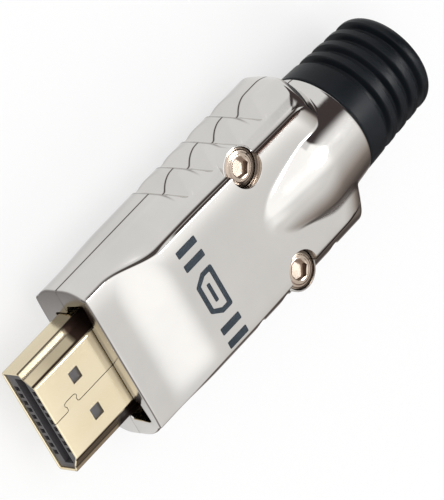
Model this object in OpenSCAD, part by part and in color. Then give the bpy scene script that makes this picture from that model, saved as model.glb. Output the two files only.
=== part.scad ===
// A male digital video plug that is assembled by hand on a cable.
// The plug lies along Y with its mating end at -Y, and it lies on the floor at z = 0.
// Inside the modules y is counted from the housing's front face and z from the plug's axis.

/* [Plug shell] */
// Width of the shell across its wide side
shell_w = 13.9; // [13:0.1:17]
// Height of the shell
shell_h = 4.45; // [4.2:0.05:4.7]
// Height of the shell's upright side walls
shell_side_h = 3.05; // [2.6:0.05:3.2]
// How far the small ledge above each side wall steps in
shell_ledge_in = 0.75; // [0.5:0.05:1]
// How far that ledge rises
shell_ledge_up = 0.35; // [0.2:0.05:0.5]
// How far each slope up to the narrow side steps in
shell_slope_in = 1.3; // [1:0.05:1.8]
// Radius of the shell's two bottom edges
shell_edge_r = 0.5; // [0.35:0.05:0.8]
// Thickness of the stamped sheet
shell_t = 0.3; // [0.2:0.05:0.35]
// How far the shell stands out of the housing
shell_reach = 9.9; // [9:0.1:13]
// Height of the shell's middle above the plug's axis
shell_lift = 0.2; // [0:0.05:0.3]
// Width and length of each retention window
window_size = 1.5; // [1:0.1:2]
// Distance between the two windows' middles
window_apart = 5.12; // [4:0.02:6]
// Distance from the shell's front edge to a window's near edge
window_back = 4.5; // [3:0.1:5.5]
// Width of the seam where the sheet's edges meet
seam_w = 0.08; // [0.05:0.01:0.15]
// How far the seam's dovetail reaches to the side
dovetail_reach = 1; // [0.6:0.05:1.3]
// Length of the dovetail along the seam
dovetail_len = 1.95; // [1.5:0.05:2.2]
// Distance from the shell's front edge to the dovetail
dovetail_back = 2.1; // [1.5:0.1:2.3]
// How far the box shaped skirt behind the housing's front wall steps out beside the shell
skirt_step = 0.85; // [0.6:0.05:1.1]
// Height of the skirt
skirt_h = 6.6; // [6:0.1:6.8]
// Length of the skirt
skirt_len = 7.4; // [6:0.1:8]

/* [Mating insert] */
// Width of the slot that takes the socket's tongue
tongue_slot_w = 11.9; // [11:0.1:12]
// Height of that slot
tongue_slot_h = 1.45; // [1.3:0.05:1.5]
// Depth of that slot
tongue_slot_depth = 7; // [6:0.1:7.5]
// How far the insulator stays behind the shell's front edge
insulator_back = 0.25; // [0.1:0.05:0.5]
// Number of contacts in the row on the wide side
wide_row = 10; // [10]
// Number of contacts in the row on the narrow side
narrow_row = 9; // [9]
// Distance between neighbouring contacts in a row
contact_pitch = 1; // [0.9:0.02:1.06]
// Width of a contact
contact_w = 0.45; // [0.35:0.05:0.5]
// Thickness of a contact
contact_t = 0.25; // [0.15:0.05:0.3]
// Width of the window around a contact's tip
contact_window_w = 0.62; // [0.5:0.02:0.7]
// Height of that window
contact_window_h = 0.7; // [0.5:0.05:0.75]
// How far a contact's bump stands into the slot
contact_bump = 0.18; // [0.1:0.02:0.25]
// Length of the solder tails behind the insulator
tail_len = 5; // [4:0.1:5.5]

/* [Housing] */
// Width of the housing
body_w = 20.5; // [19.8:0.1:24.6]
// Length of the housing from its front face to the collar's end
body_len = 40.7; // [40:0.1:49]
// Radius of the housing's rounded sides
side_r = 4.6; // [4:0.1:5]
// Height of the front face, from the axis to its top edge
nose_h = 4.4; // [4.3:0.05:4.8]
// Height of the flat plate above the axis
plate_h = 6.4; // [6.2:0.05:6.8]
// Half width of the plate at the front face
nose_plate_w = 9.05; // [8.8:0.05:9.3]
// Half width of the plate behind the ramp
plate_w = 7.9; // [7.7:0.05:8.2]
// Half width that the plate narrows to at the collar's end
plate_tail_w = 7.4; // [7.2:0.05:7.7]
// Where the ramp up to the plate starts
ramp_start = 3; // [1:0.1:4]
// Where the ramp ends
ramp_end = 10.5; // [9:0.1:12]
// Radius of the housing's upright front edges
nose_edge_r = 0.5; // [0.2:0.05:1]
// Thickness of the front wall around the shell
front_wall = 2.6; // [2:0.1:3]
// How far the front opening's wide upper part steps out beside the shell
opening_step = 1.05; // [0.7:0.05:1.3]
// Width of the chamber behind the skirt
chamber_w = 14.8; // [14.4:0.1:15.4]
// Height of that chamber
chamber_h = 8.6; // [8.2:0.1:9]
// Where that chamber ends
chamber_end = 21.4; // [20.5:0.1:21.6]
// Diameter of the channel between the screws
neck_d = 9.6; // [9.4:0.1:10]

/* [Side grips] */
// Number of scallops on each side
grip_count = 4; // [1:1:4]
// Where the first crest stands
grip_first = 16.65; // [14:0.05:17]
// Distance from crest to crest
grip_pitch = 4.45; // [4.3:0.05:4.6]
// Depth of a scallop
grip_depth = 1.35; // [0.6:0.05:1.5]
// Where the rounded shoulder behind the grips starts
shoulder_y = 35.6; // [35:0.1:36]
// Radius of that shoulder
shoulder_r = 4.5; // [3:0.1:5]

/* [Dome and collar] */
// Radius of the dome and the collar
dome_r = 7.75; // [7.5:0.05:8]
// Where the dome leaves the plate
dome_start = 24.6; // [23:0.1:26]
// Where the dome has its full radius
dome_full = 32; // [30:0.1:33]
// Where the collar begins to taper
collar_taper = 34.25; // [33:0.05:37]
// Radius of the collar's end
collar_end_r = 7.05; // [6.9:0.05:7.4]
// Radius of the collar's end edge
collar_edge_r = 0.3; // [0.1:0.05:0.4]
// Middle of the rounded tail behind the plate
tail_y = 22.4; // [21:0.1:23.4]
// Radius of that tail, seen from above, at the axis
tail_r = 18.35; // [17.8:0.05:19]
// Radius of the tail's rounding
tail_round_r = 7.4; // [7:0.1:7.8]

/* [Screws] */
// Thread diameter of the screws
screw_d = 2.5; // [2:0.1:3]
// Length of the thread below the head
screw_len = 6; // [5:0.5:7]
// Diameter of the head
head_d = 4.3; // [3.8:0.05:4.5]
// Height of the head
head_h = 2.5; // [2:0.1:2.8]
// Width of the bevel around the head's face
head_bevel = 0.4; // [0.1:0.05:0.6]
// Width across the flats of the socket
socket_af = 2; // [1.5:0.1:2.5]
// Depth of the socket
socket_depth = 1.3; // [1:0.1:1.6]
// Distance of each screw from the middle
screw_x = 7.3; // [7.1:0.05:7.4]
// Distance of the screws behind the front face
screw_y = 25.2; // [24.6:0.1:25.6]
// Depth of the head's face below the plate
head_sink = 1.1; // [0.8:0.05:1.3]

/* [Boot] */
// Diameter of the cable that the boot takes
cable_d = 8.2; // [7:0.1:8.4]
// Diameter of the boot beside the collar
boot_root_d = 14; // [13.4:0.1:14.2]
// Diameter of the boot at its tail
boot_tail_d = 12.6; // [12:0.1:13]
// How far the boot stands out of the collar
boot_reach = 12.6; // [11.8:0.1:16]
// Radius of the boot's rounded tail
boot_tail_r = 1.4; // [0.8:0.1:1.6]
// Number of ring grooves
groove_count = 4; // [1:1:4]
// Distance from the collar to the middle of the first groove
groove_first = 3.8; // [3.2:0.1:4.2]
// Distance from groove to groove
groove_pitch = 2.15; // [2:0.05:2.3]
// Width of a groove
groove_w = 1; // [0.6:0.05:1.2]
// Depth of a groove
groove_depth = 0.8; // [0.4:0.05:1]
// Diameter of the boot's neck inside the collar
boot_neck_d = 11.2; // [10.8:0.1:11.6]
// Diameter of the flange that holds the boot
flange_d = 12.5; // [12.2:0.1:12.7]
// Thickness of that flange
flange_t = 2; // [1.5:0.1:2.4]

/* [Screening] */
// Thickness of the stamped screen covers
cover_t = 0.3; // [0.2:0.05:0.4]
// Inside diameter of the crimp sleeve, for the cable without its jacket
crimp_d = 6.6; // [5.5:0.1:6.8]
// Length of the crimp sleeve
crimp_len = 6; // [4:0.1:7]

/* [Fits] */
// Gap between pieces that are laid into each other
fit_gap = 0.05; // [0.02:0.01:0.08]
// Gap around the thread in its tapped hole
thread_gap = 0.02; // [0.01:0.01:0.05]

/* [Hidden] */
$fn = 64;
contacts = wide_row + narrow_row;

// Places worked out from the sizes above
total_len = shell_reach + body_len + boot_reach;
nose_y = shell_reach - total_len / 2;
axis_z = dome_r;
shell_bottom = shell_lift - shell_h / 2;
shell_top = shell_lift + shell_h / 2;
shell_narrow = shell_w / 2 - shell_ledge_in - shell_slope_in;
skirt_w = shell_w + 2 * skirt_step;
opening_ear = shell_w / 2 + opening_step;
skirt_y = front_wall;
skirt_end = skirt_y + skirt_len;
insulator_y = insulator_back - shell_reach;
insulator_end = skirt_end - shell_t;
slot_end = insulator_y + tongue_slot_depth;
window_mid = (tongue_slot_h + shell_h - 2 * shell_t) / 4;
contact_z = window_mid + contact_t / 2;
tail_end = insulator_end + tail_len;
holder_y = skirt_end + fit_gap;
holder_end = tail_end + 0.4;
head_z = plate_h - head_sink;
head_seat = head_z - head_h;
tapped_depth = screw_len - head_seat + 0.2;
flange_y = body_len - 4;
cover_y = skirt_end + fit_gap;
cover_end = chamber_end - 1;
reach = 60;
ramp_steps = 16;
arc_steps = 8;

function contact_name(i) = str("contact_", i < 10 ? "0" : "", i);

// A smooth step from 0 to 1 while y runs from a to b
function smooth(y, a, b) =
    let (t = min(1, max(0, (y - a) / (b - a)))) t * t * (3 - 2 * t);

// Points on an arc around c, from angle a0 to angle a1
function arc(c, r, a0, a1, steps = arc_steps) =
    [for (i = [0:steps]) c + r * [cos(a0 + (a1 - a0) * i / steps), sin(a0 + (a1 - a0) * i / steps)]];

// The same points mirrored in the middle line and in reverse order
function mirrored(points) = [for (i = [len(points) - 1:-1:0]) [-points[i][0], points[i][1]]];

// Moves a piece from the plug's own coordinates to the part's
module placed() {
    translate([0, nose_y, axis_z]) children();
}

// Carries an outline drawn in X and Z along Y, from y0 to y1
module along_y(y0, y1) {
    translate([0, y1, 0]) rotate([90, 0, 0]) linear_extrude(y1 - y0) children();
}

// Turns an outline drawn as radius and y around the plug's axis
module around_y() {
    rotate([-90, 0, 0]) rotate_extrude() children();
}

// The half width of the plate at y
function plate_edge(y) = nose_plate_w - (nose_plate_w - plate_w) * smooth(y, ramp_start, ramp_end);

// The height of the ramp and the plate at y
function plate_top(y) = nose_h + (plate_h - nose_h) * smooth(y, ramp_start, ramp_end);

// The heights above the axis where the rounded side starts, so that it meets the front face's corner
side_drop = body_w / 2 - nose_plate_w;
side_z = nose_h - sqrt(2 * side_drop * side_r - side_drop * side_drop);

// The housing's section: upright at the sides, rounded above and below
module round_section() {
    half_w = body_w / 2;
    for (side = [-1, 1]) for (up = [-1, 1])
        translate([side * (half_w - side_r), up * side_z]) circle(side_r);
    square([2 * (half_w - side_r), 2 * (side_z + side_r)], center = true);
    square([body_w, 2 * side_z], center = true);
}

// One scallop's outline on the +X side, from its crest to the next one
grip_valley = 0.43 * grip_pitch;
grip_rise = 0.945 * grip_pitch - grip_valley;
grip_r = (grip_rise * grip_rise + grip_depth * grip_depth) / (2 * grip_depth);
function grip(y) = concat(
    [[body_w / 2, y], [body_w / 2 - grip_depth, y + 0.27 * grip_pitch]],
    arc([body_w / 2 - grip_r, y + grip_valley + grip_rise], grip_r, -asin(grip_rise / grip_r), 0));

// The housing seen from above, with the grips in its sides
module plan() {
    half_w = body_w / 2;
    side = concat(
        arc([half_w - nose_edge_r, nose_edge_r], nose_edge_r, -90, 0),
        [for (i = [0:grip_count - 1]) each grip(grip_first + i * grip_pitch)],
        [[half_w, grip_first + grip_count * grip_pitch]],
        arc([half_w - shoulder_r, shoulder_y], shoulder_r, 0, 90));
    polygon(concat(side, mirrored(side)));
}

// The flat plate seen from above
module plate_plan() {
    edge = [for (i = [0:ramp_steps]) let (y = ramp_start + (ramp_end - ramp_start) * i / ramp_steps)
        [plate_edge(y), y]];
    side = concat([[nose_plate_w, 0]], edge, [[plate_tail_w, body_len]]);
    polygon(concat(side, mirrored(side)));
}

// The housing seen from the side: the front face, the ramps above and below, and the plates
module ramp_outline() {
    top = [for (i = [0:ramp_steps]) let (y = ramp_start + (ramp_end - ramp_start) * i / ramp_steps)
        [y, plate_top(y)]];
    upper = concat([[0, nose_h]], top, [[body_len, plate_h]]);
    polygon(concat(upper, [for (i = [len(upper) - 1:-1:0]) [upper[i][0], -upper[i][1]]]));
}

// The rounded tail that closes the plates and the sides behind
module tail() {
    ring = tail_r - tail_round_r;
    translate([0, tail_y, 0]) rotate_extrude() {
        translate([ring, 0]) circle(tail_round_r);
        translate([0, -tail_round_r]) square([ring, 2 * tail_round_r]);
    }
    translate([-reach / 2, -1, -reach / 2]) cube([reach, tail_y + 1, reach]);
}

// The dome that grows out of the plates and the collar behind it
module dome() {
    rise = dome_r - plate_h;
    run = dome_full - dome_start;
    dome_arc_r = (run * run + rise * rise) / (2 * rise);
    slope = atan((dome_r - collar_end_r) / (body_len - collar_taper));
    around_y() polygon(concat(
        [[0, dome_start], [plate_h, dome_start]],
        [for (i = [1:arc_steps]) let (y = dome_start + run * i / arc_steps)
            [dome_r - dome_arc_r + sqrt(pow(dome_arc_r, 2) - pow(dome_full - y, 2)), y]],
        [[dome_r, collar_taper]],
        arc([collar_end_r - collar_edge_r, body_len - collar_edge_r], collar_edge_r, slope, 90, 4),
        [[0, body_len]]));
}

// The whole housing's outer form
module housing_form() {
    intersection() {
        union() {
            along_y(0, body_len) round_section();
            translate([0, 0, -plate_h]) linear_extrude(2 * plate_h) plate_plan();
        }
        translate([0, 0, -reach / 2]) linear_extrude(reach) plan();
        rotate([90, 0, 90]) translate([0, 0, -reach / 2]) linear_extrude(reach) ramp_outline();
        tail();
    }
    dome();
}

// The front opening: close to the shell at the sides, wide beside its narrow face
module front_opening() {
    half = shell_w / 2 + 2 * fit_gap;
    low = shell_bottom - 0.25;
    high = shell_top + 0.25;
    shoulder = shell_bottom + 0.6 * shell_side_h;
    polygon([[-half, low], [half, low], [half, shoulder], [opening_ear, shoulder + 0.6],
        [opening_ear, high], [-opening_ear, high], [-opening_ear, shoulder + 0.6], [-half, shoulder]]);
}

// Everything that is taken out of the housing for the parts inside it
module housing_inside() {
    along_y(-1, front_wall + 1) front_opening();
    along_y(front_wall - fit_gap, skirt_end + fit_gap)
        square([skirt_w + 2 * fit_gap, skirt_h + 2 * fit_gap], center = true);
    along_y(skirt_end, chamber_end) square([chamber_w, chamber_h], center = true);
    around_y() polygon([[0, chamber_end - 1], [neck_d / 2, chamber_end - 1], [neck_d / 2, flange_y],
        [flange_d / 2 + fit_gap, flange_y], [flange_d / 2 + fit_gap, flange_y + flange_t + 2 * fit_gap],
        [boot_neck_d / 2 + fit_gap, flange_y + flange_t + 2 * fit_gap],
        [boot_neck_d / 2 + fit_gap, body_len + 1], [0, body_len + 1]]);
}

// One half of the housing's form, above or below the parting plane
module housing_half(up) {
    difference() {
        intersection() {
            housing_form();
            translate([-reach / 2, -1, up > 0 ? 0 : -reach]) cube([reach, reach, reach]);
        }
        housing_inside();
    }
}

module housing_top() {
    color("gainsboro") placed() difference() {
        housing_half(1);
        for (side = [-1, 1]) translate([side * screw_x, screw_y, 0]) {
            translate([0, 0, -1]) cylinder(d = screw_d + 6 * fit_gap, h = plate_h);
            translate([0, 0, head_seat]) cylinder(d = head_d + 6 * fit_gap, h = plate_h);
        }
    }
}

module housing_bottom() {
    color("silver") placed() difference() {
        housing_half(-1);
        for (side = [-1, 1]) translate([side * screw_x, screw_y, -tapped_depth])
            cylinder(d = screw_d + 2 * thread_gap, h = tapped_depth + 1);
    }
}

module screw(side) {
    color("wheat") placed() translate([side * screw_x, screw_y, 0]) difference() {
        union() {
            translate([0, 0, head_seat - screw_len]) cylinder(d = screw_d, h = screw_len + 0.1);
            translate([0, 0, head_seat]) cylinder(d = head_d, h = head_h - head_bevel);
            translate([0, 0, head_z - head_bevel])
                cylinder(d1 = head_d, d2 = head_d - 2 * head_bevel, h = head_bevel);
        }
        translate([0, 0, head_z - socket_depth])
            cylinder(d = socket_af / cos(30), h = socket_depth + 1, $fn = 6);
    }
}

// The shell's outline, or the outline of what fits inside it, drawn inset
module shell_outline(inset) {
    r = max(shell_edge_r - inset, 0.05);
    half = shell_w / 2 - inset;
    low = shell_bottom + inset;
    side_top = shell_bottom + shell_side_h - inset * 0.4;
    side = concat(
        arc([half - r, low + r], r, -90, 0),
        [[half, side_top], [half - shell_ledge_in, side_top + shell_ledge_up],
         [shell_narrow - inset * 0.6, shell_top - inset]]);
    polygon(concat(side, mirrored(side)));
}

// The seam in the narrow face with its dovetail
module seam() {
    front = -shell_reach;
    a = front + dovetail_back;
    b = a + dovetail_len;
    line = [[0, front - 1], [0, a], [-0.25, a + 0.12], [-0.75 * dovetail_reach, a - 0.04],
        [-dovetail_reach, a + 0.45], [-dovetail_reach, b - 0.45], [-0.75 * dovetail_reach, b + 0.04],
        [-0.25, b - 0.12], [0, b], [0, front_wall]];
    for (i = [0:len(line) - 2]) {
        run = line[i + 1] - line[i];
        translate([line[i][0], line[i][1], shell_lift]) rotate([0, 0, atan2(run[1], run[0])])
            translate([-seam_w / 2, -seam_w / 2, 0]) cube([norm(run) + seam_w, seam_w, shell_h]);
    }
}

module plug_shell() {
    color("gold") placed() difference() {
        union() {
            along_y(-shell_reach, skirt_y + shell_t) shell_outline(0);
            along_y(skirt_y, skirt_end) square([skirt_w, skirt_h], center = true);
        }
        along_y(-shell_reach - 1, skirt_y + 1) shell_outline(shell_t);
        along_y(skirt_y + shell_t, skirt_end + 1)
            square([skirt_w - 2 * shell_t, skirt_h - 2 * shell_t], center = true);
        for (side = [-1, 1]) translate([side * window_apart / 2, window_back - shell_reach + window_size / 2, 0])
            cube([window_size, window_size, reach], center = true);
        seam();
    }
}

// The middle of contact i: its place across the plug and its row, +1 for the narrow side
function contact_row(i) = i <= wide_row ? -1 : 1;
function contact_x(i) = i <= wide_row
    ? (i - 1 - (wide_row - 1) / 2) * contact_pitch
    : (i - wide_row - 1 - (narrow_row - 1) / 2) * contact_pitch;

// Takes what is drawn for the narrow side's row to the place of contact i
module at_contact(i) {
    translate([contact_x(i), 0, shell_lift]) scale([1, 1, contact_row(i)]) children();
}

// The room for one contact: its window, its channel beside the slot and its way out at the back
module contact_room() {
    half = contact_window_w / 2;
    low = window_mid - contact_window_h / 2;
    translate([-half, insulator_y - 1, low]) cube([contact_window_w, 2.5, contact_window_h]);
    translate([-half, insulator_y + 1.4, 0])
        cube([contact_window_w, tongue_slot_depth - 1.4, low + contact_window_h]);
    translate([-contact_w / 2 - fit_gap, slot_end - 1, contact_z - contact_t - fit_gap])
        cube([contact_w + 2 * fit_gap, insulator_end - slot_end + 2, contact_t + 2 * fit_gap]);
}

module insulator() {
    color("dimgray") placed() difference() {
        union() {
            along_y(insulator_y, skirt_y + shell_t + fit_gap) shell_outline(shell_t + fit_gap);
            along_y(skirt_y + shell_t + fit_gap, insulator_end)
                square([skirt_w - 2 * shell_t - 2 * fit_gap, skirt_h - 2 * shell_t - 2 * fit_gap],
                    center = true);
        }
        translate([-tongue_slot_w / 2, insulator_y - 1, shell_lift - tongue_slot_h / 2])
            cube([tongue_slot_w, tongue_slot_depth + 1, tongue_slot_h]);
        for (i = [1:contacts]) at_contact(i) contact_room();
    }
}

// A stamped contact: tip in its window, bump in the slot, beam through the insulator, solder tail
module contact(i) {
    front = insulator_y + 0.5;
    top = contact_z;
    low = contact_z - contact_t;
    bump = tongue_slot_h / 2 - contact_bump;
    outline = [[front, top], [front, low], [front + 1.5, low], [front + 2.4, bump + 0.1],
        [front + 2.8, bump], [front + 3.2, bump + 0.1], [front + 4.4, low], [tail_end, low],
        [tail_end, top], [front + 4.4, top], [front + 3.2, bump + contact_t + 0.1],
        [front + 2.4, bump + contact_t + 0.1], [front + 1.5, top]];
    color("goldenrod") placed() at_contact(i)
        rotate([90, 0, 90]) translate([0, 0, -contact_w / 2]) linear_extrude(contact_w) polygon(outline);
}

// A comb behind the insulator that carries the solder tails above and below
module wire_holder() {
    holder_w = tongue_slot_w + 1.2;
    holder_h = 2 * contact_z + 0.5;
    color("ivory") placed() difference() {
        translate([-holder_w / 2, holder_y, shell_lift - holder_h / 2])
            cube([holder_w, holder_end - holder_y, holder_h]);
        for (i = [1:contacts]) at_contact(i)
            translate([-contact_w / 2 - fit_gap, holder_y - 1, contact_z - contact_t - fit_gap])
                cube([contact_w + 2 * fit_gap, holder_end, holder_h]);
    }
}

// One screen cover: a folded tray over the solder tails, with a half round hole in its back
module cover_tray(hole_r) {
    w = chamber_w - 2 * fit_gap;
    h = chamber_h / 2 - fit_gap;
    difference() {
        translate([-w / 2, cover_y, fit_gap / 2]) cube([w, cover_end - cover_y, h - fit_gap / 2]);
        translate([-w / 2 + cover_t, cover_y - 1, -1])
            cube([w - 2 * cover_t, cover_end - cover_y + 1 - cover_t, h + 1 - cover_t]);
        around_y() square([hole_r, reach]);
    }
}

module shield_cover_top() {
    color("lightgray") placed() cover_tray(crimp_d / 2 + cover_t + fit_gap);
}

// The lower cover carries the crimp sleeve, a full ring behind its back wall
module shield_cover_bottom() {
    color("lightgray") placed() {
        mirror([0, 0, 1]) cover_tray(crimp_d / 2);
        around_y() translate([crimp_d / 2, cover_end - fit_gap]) square([cover_t, crimp_len]);
    }
}

// The radius of the boot's outside at distance t behind the collar
function boot_r(t) = boot_root_d / 2 - (boot_root_d - boot_tail_d) / 2 * t / boot_reach;

module boot() {
    bore = cable_d / 2;
    tail = body_len + boot_reach;
    color([0.13, 0.13, 0.14]) placed() difference() {
        around_y() polygon(concat(
            [[bore, flange_y - 1], [boot_neck_d / 2 - 1, flange_y - 1], [boot_neck_d / 2 - 1, flange_y + fit_gap],
             [flange_d / 2, flange_y + fit_gap], [flange_d / 2, flange_y + flange_t],
             [boot_neck_d / 2, flange_y + flange_t], [boot_neck_d / 2, body_len + fit_gap],
             [boot_root_d / 2, body_len + fit_gap]],
            arc([boot_tail_d / 2 - boot_tail_r, tail - boot_tail_r], boot_tail_r, 0, 90),
            [[bore, tail]]));
        for (i = [0:groove_count - 1]) {
            t = groove_first + i * groove_pitch;
            around_y() translate([boot_r(t) - groove_depth, body_len + t])
                polygon([[0, -0.3 * groove_w], [0, 0.3 * groove_w], [2 * groove_depth, 0.7 * groove_w],
                    [2 * groove_depth, -0.7 * groove_w]]);
        }
    }
}

housing_top();
housing_bottom();
screw(-1);  // screw_left
screw(1);  // screw_right
plug_shell();
insulator();
wire_holder();
shield_cover_top();
shield_cover_bottom();
boot();
for (i = [1:contacts]) contact(i);
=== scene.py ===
"""Looks of a digital video plug: polished cast housing, gilt shell, black rubber boot.

Lengths are in millimetres in the plug's own coordinates: x across the plug, y from the housing's
front face towards the cable, z up from the plug's axis. to_part() takes them to the frame's metres.
"""

import logging
from dataclasses import dataclass
from enum import Enum
from functools import cache, cached_property, reduce
from typing import Any, Iterable

import bmesh
import bpy
import numpy as np
from mathutils import Matrix


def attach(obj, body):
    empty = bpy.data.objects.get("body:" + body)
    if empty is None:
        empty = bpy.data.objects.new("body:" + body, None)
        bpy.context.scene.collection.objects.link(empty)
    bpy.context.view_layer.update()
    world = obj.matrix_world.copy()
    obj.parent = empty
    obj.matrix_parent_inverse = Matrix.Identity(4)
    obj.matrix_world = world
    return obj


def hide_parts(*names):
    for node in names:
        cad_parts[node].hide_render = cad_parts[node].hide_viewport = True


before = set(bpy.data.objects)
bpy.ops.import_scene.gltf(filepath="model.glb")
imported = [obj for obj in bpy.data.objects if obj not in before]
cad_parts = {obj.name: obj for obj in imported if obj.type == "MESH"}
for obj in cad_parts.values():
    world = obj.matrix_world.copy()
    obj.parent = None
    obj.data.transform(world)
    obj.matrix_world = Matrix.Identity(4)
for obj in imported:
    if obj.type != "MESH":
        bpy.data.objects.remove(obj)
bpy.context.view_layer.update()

LOG = logging.getLogger("video_plug")
MILLIMETRE = 0.001
NOSE_Y = -21.7
AXIS_Z = 7.75
PICTURE_HEIGHT = 500  # pixels
MERGE_DISTANCE = 2e-7  # metres
QUARTER_TURN = np.pi / 2
Array = np.ndarray
Pair = tuple[float, float]
Pairs = tuple[Pair, ...]
Triple = tuple[float, float, float]
SIDES = (-1.0, 1.0)


class Axis(Enum):
    """The line that a profile is turned around, or that an outline is carried along."""

    PLUG = "along y"
    UPRIGHT = "along z"


class Half(Enum):
    """One of the two halves of the housing, with the sign of its side of the axis."""

    TOP = 1.0
    BOTTOM = -1.0


def to_part(points: Array) -> Array:
    """Take points from the plug's millimetres to the part's metres."""
    return (np.asarray(points, float) + (0.0, NOSE_Y, AXIS_Z)) * MILLIMETRE


def smooth_step(value: Array, low: float, high: float) -> Array:
    """Rise from 0 to 1 between low and high as 3 t squared minus 2 t cubed."""
    t = np.clip((np.asarray(value, float) - low) / (high - low), 0.0, 1.0)
    return t * t * (3.0 - 2.0 * t)


def fall(value: Array, low: float, high: float) -> Array:
    """Fall from 1 to 0 between low and high, as 1 less the smooth step."""
    return 1.0 - smooth_step(value, low, high)


def bell_blur(line: Array, reach: Array, width: float) -> Array:
    """Round the corners of a line of evenly spaced values.

    Each value becomes the mean of its neighbours, weighted by e to the power of minus half the
    square of their distance over the bell's width.

    Args:
        line: The values.
        reach: The distances of the neighbours that count, as far apart as the values.
        width: The bell's width.

    Returns:
        The values that have all their neighbours.
    """
    bell = np.exp(-0.5 * (reach / width) ** 2)
    return np.convolve(line, bell / bell.sum(), mode="valid")


def quarter_arc(middle: Pair, radius: Pair, steps: int = 4) -> Array:
    """Set points along a quarter of a turn: the middle plus the radii times cosine and sine."""
    turn = np.linspace(0.0, QUARTER_TURN, steps + 1)
    return np.stack([middle[0] + radius[0] * np.cos(turn), middle[1] + radius[1] * np.sin(turn)], axis=1)


def grid_faces(rows: int, cols: int, ring_rows: bool = False, ring_cols: bool = False) -> Array:
    """Index the quads between the points of a grid that is stored row by row.

    Args:
        rows: Number of rows of points.
        cols: Number of points in a row.
        ring_rows: Whether the last row joins the first.
        ring_cols: Whether the last column joins the first.

    Returns:
        One row of four point numbers for each quad.
    """
    r = np.arange(rows if ring_rows else rows - 1)[:, None]
    c = np.arange(cols if ring_cols else cols - 1)[None, :]
    r_next, c_next = (r + 1) % rows, (c + 1) % cols
    corners = (r * cols + c, r * cols + c_next, r_next * cols + c_next, r_next * cols + c)
    return np.stack(np.broadcast_arrays(*corners), axis=-1).reshape(-1, 4)


def rounded(corners: Iterable, radius: float | Iterable, steps: int = 6) -> Array:
    """Round the corners of a closed outline.

    Each corner becomes an arc that touches both its sides. The arc's centre lies on the corner's
    bisector, and its points are the spherical blend of the two radii that end on the sides.

    Args:
        corners: The outline's corners, two numbers each.
        radius: One radius for all corners, or one for each.
        steps: Number of pieces in each arc.

    Returns:
        The rounded outline's points, two numbers each.
    """
    p = np.asarray(corners, float)
    r = np.broadcast_to(np.asarray(radius, float), len(p))[:, None]
    back, ahead = np.roll(p, 1, axis=0) - p, np.roll(p, -1, axis=0) - p
    back /= np.linalg.norm(back, axis=1, keepdims=True)
    ahead /= np.linalg.norm(ahead, axis=1, keepdims=True)
    half = 0.5 * np.arccos(np.clip(np.sum(back * ahead, axis=1, keepdims=True), -1.0, 1.0))
    bisector = back + ahead
    bisector /= np.linalg.norm(bisector, axis=1, keepdims=True)
    centre = p + bisector * r / np.sin(half)
    start, end = p + back * r / np.tan(half) - centre, p + ahead * r / np.tan(half) - centre
    turn = (np.pi - 2.0 * half)[:, None, :]
    s = np.linspace(0.0, 1.0, steps + 1)[None, :, None]
    blend = (np.sin((1 - s) * turn) * start[:, None] + np.sin(s * turn) * end[:, None]) / np.sin(turn)
    return (centre[:, None] + blend).reshape(-1, 2)


def rounded_box(half_width: float, half_height: float, radius: float) -> Array:
    """Outline of a box around the plug's axis, with rounded corners.

    Args:
        half_width: Half its width.
        half_height: Half its height.
        radius: The corners' radius.

    Returns:
        The outline's points, two numbers each.
    """
    right = [(half_width, -half_height), (half_width, half_height)]
    left = [(-half_width, half_height), (-half_width, -half_height)]
    return rounded(right + left, radius)


def grown(outline: Array, distance: float) -> Array:
    """Move a closed outline that runs anticlockwise outwards along its normals.

    A point's normal is the sum of its two edges' normals. The move is twice the distance along it
    over the square of its length, which keeps the edges parallel.

    Args:
        outline: The outline's points, two numbers each.
        distance: How far it moves, below 0 for inwards.

    Returns:
        The moved points.
    """
    ahead = np.roll(outline, -1, axis=0) - outline
    ahead /= np.maximum(np.linalg.norm(ahead, axis=1, keepdims=True), 1e-9)
    edge = np.stack([ahead[:, 1], -ahead[:, 0]], axis=1)
    normal = edge + np.roll(edge, 1, axis=0)
    length = np.linalg.norm(normal, axis=1, keepdims=True)
    return outline + normal * distance * 2.0 / np.maximum(length, 0.5) ** 2


def mirrored(side: Iterable) -> Array:
    """Complete an outline whose right side is given from its start to its end."""
    side = np.asarray(side, float)
    return np.vstack([side, side[::-1] * (-1.0, 1.0)])


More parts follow.
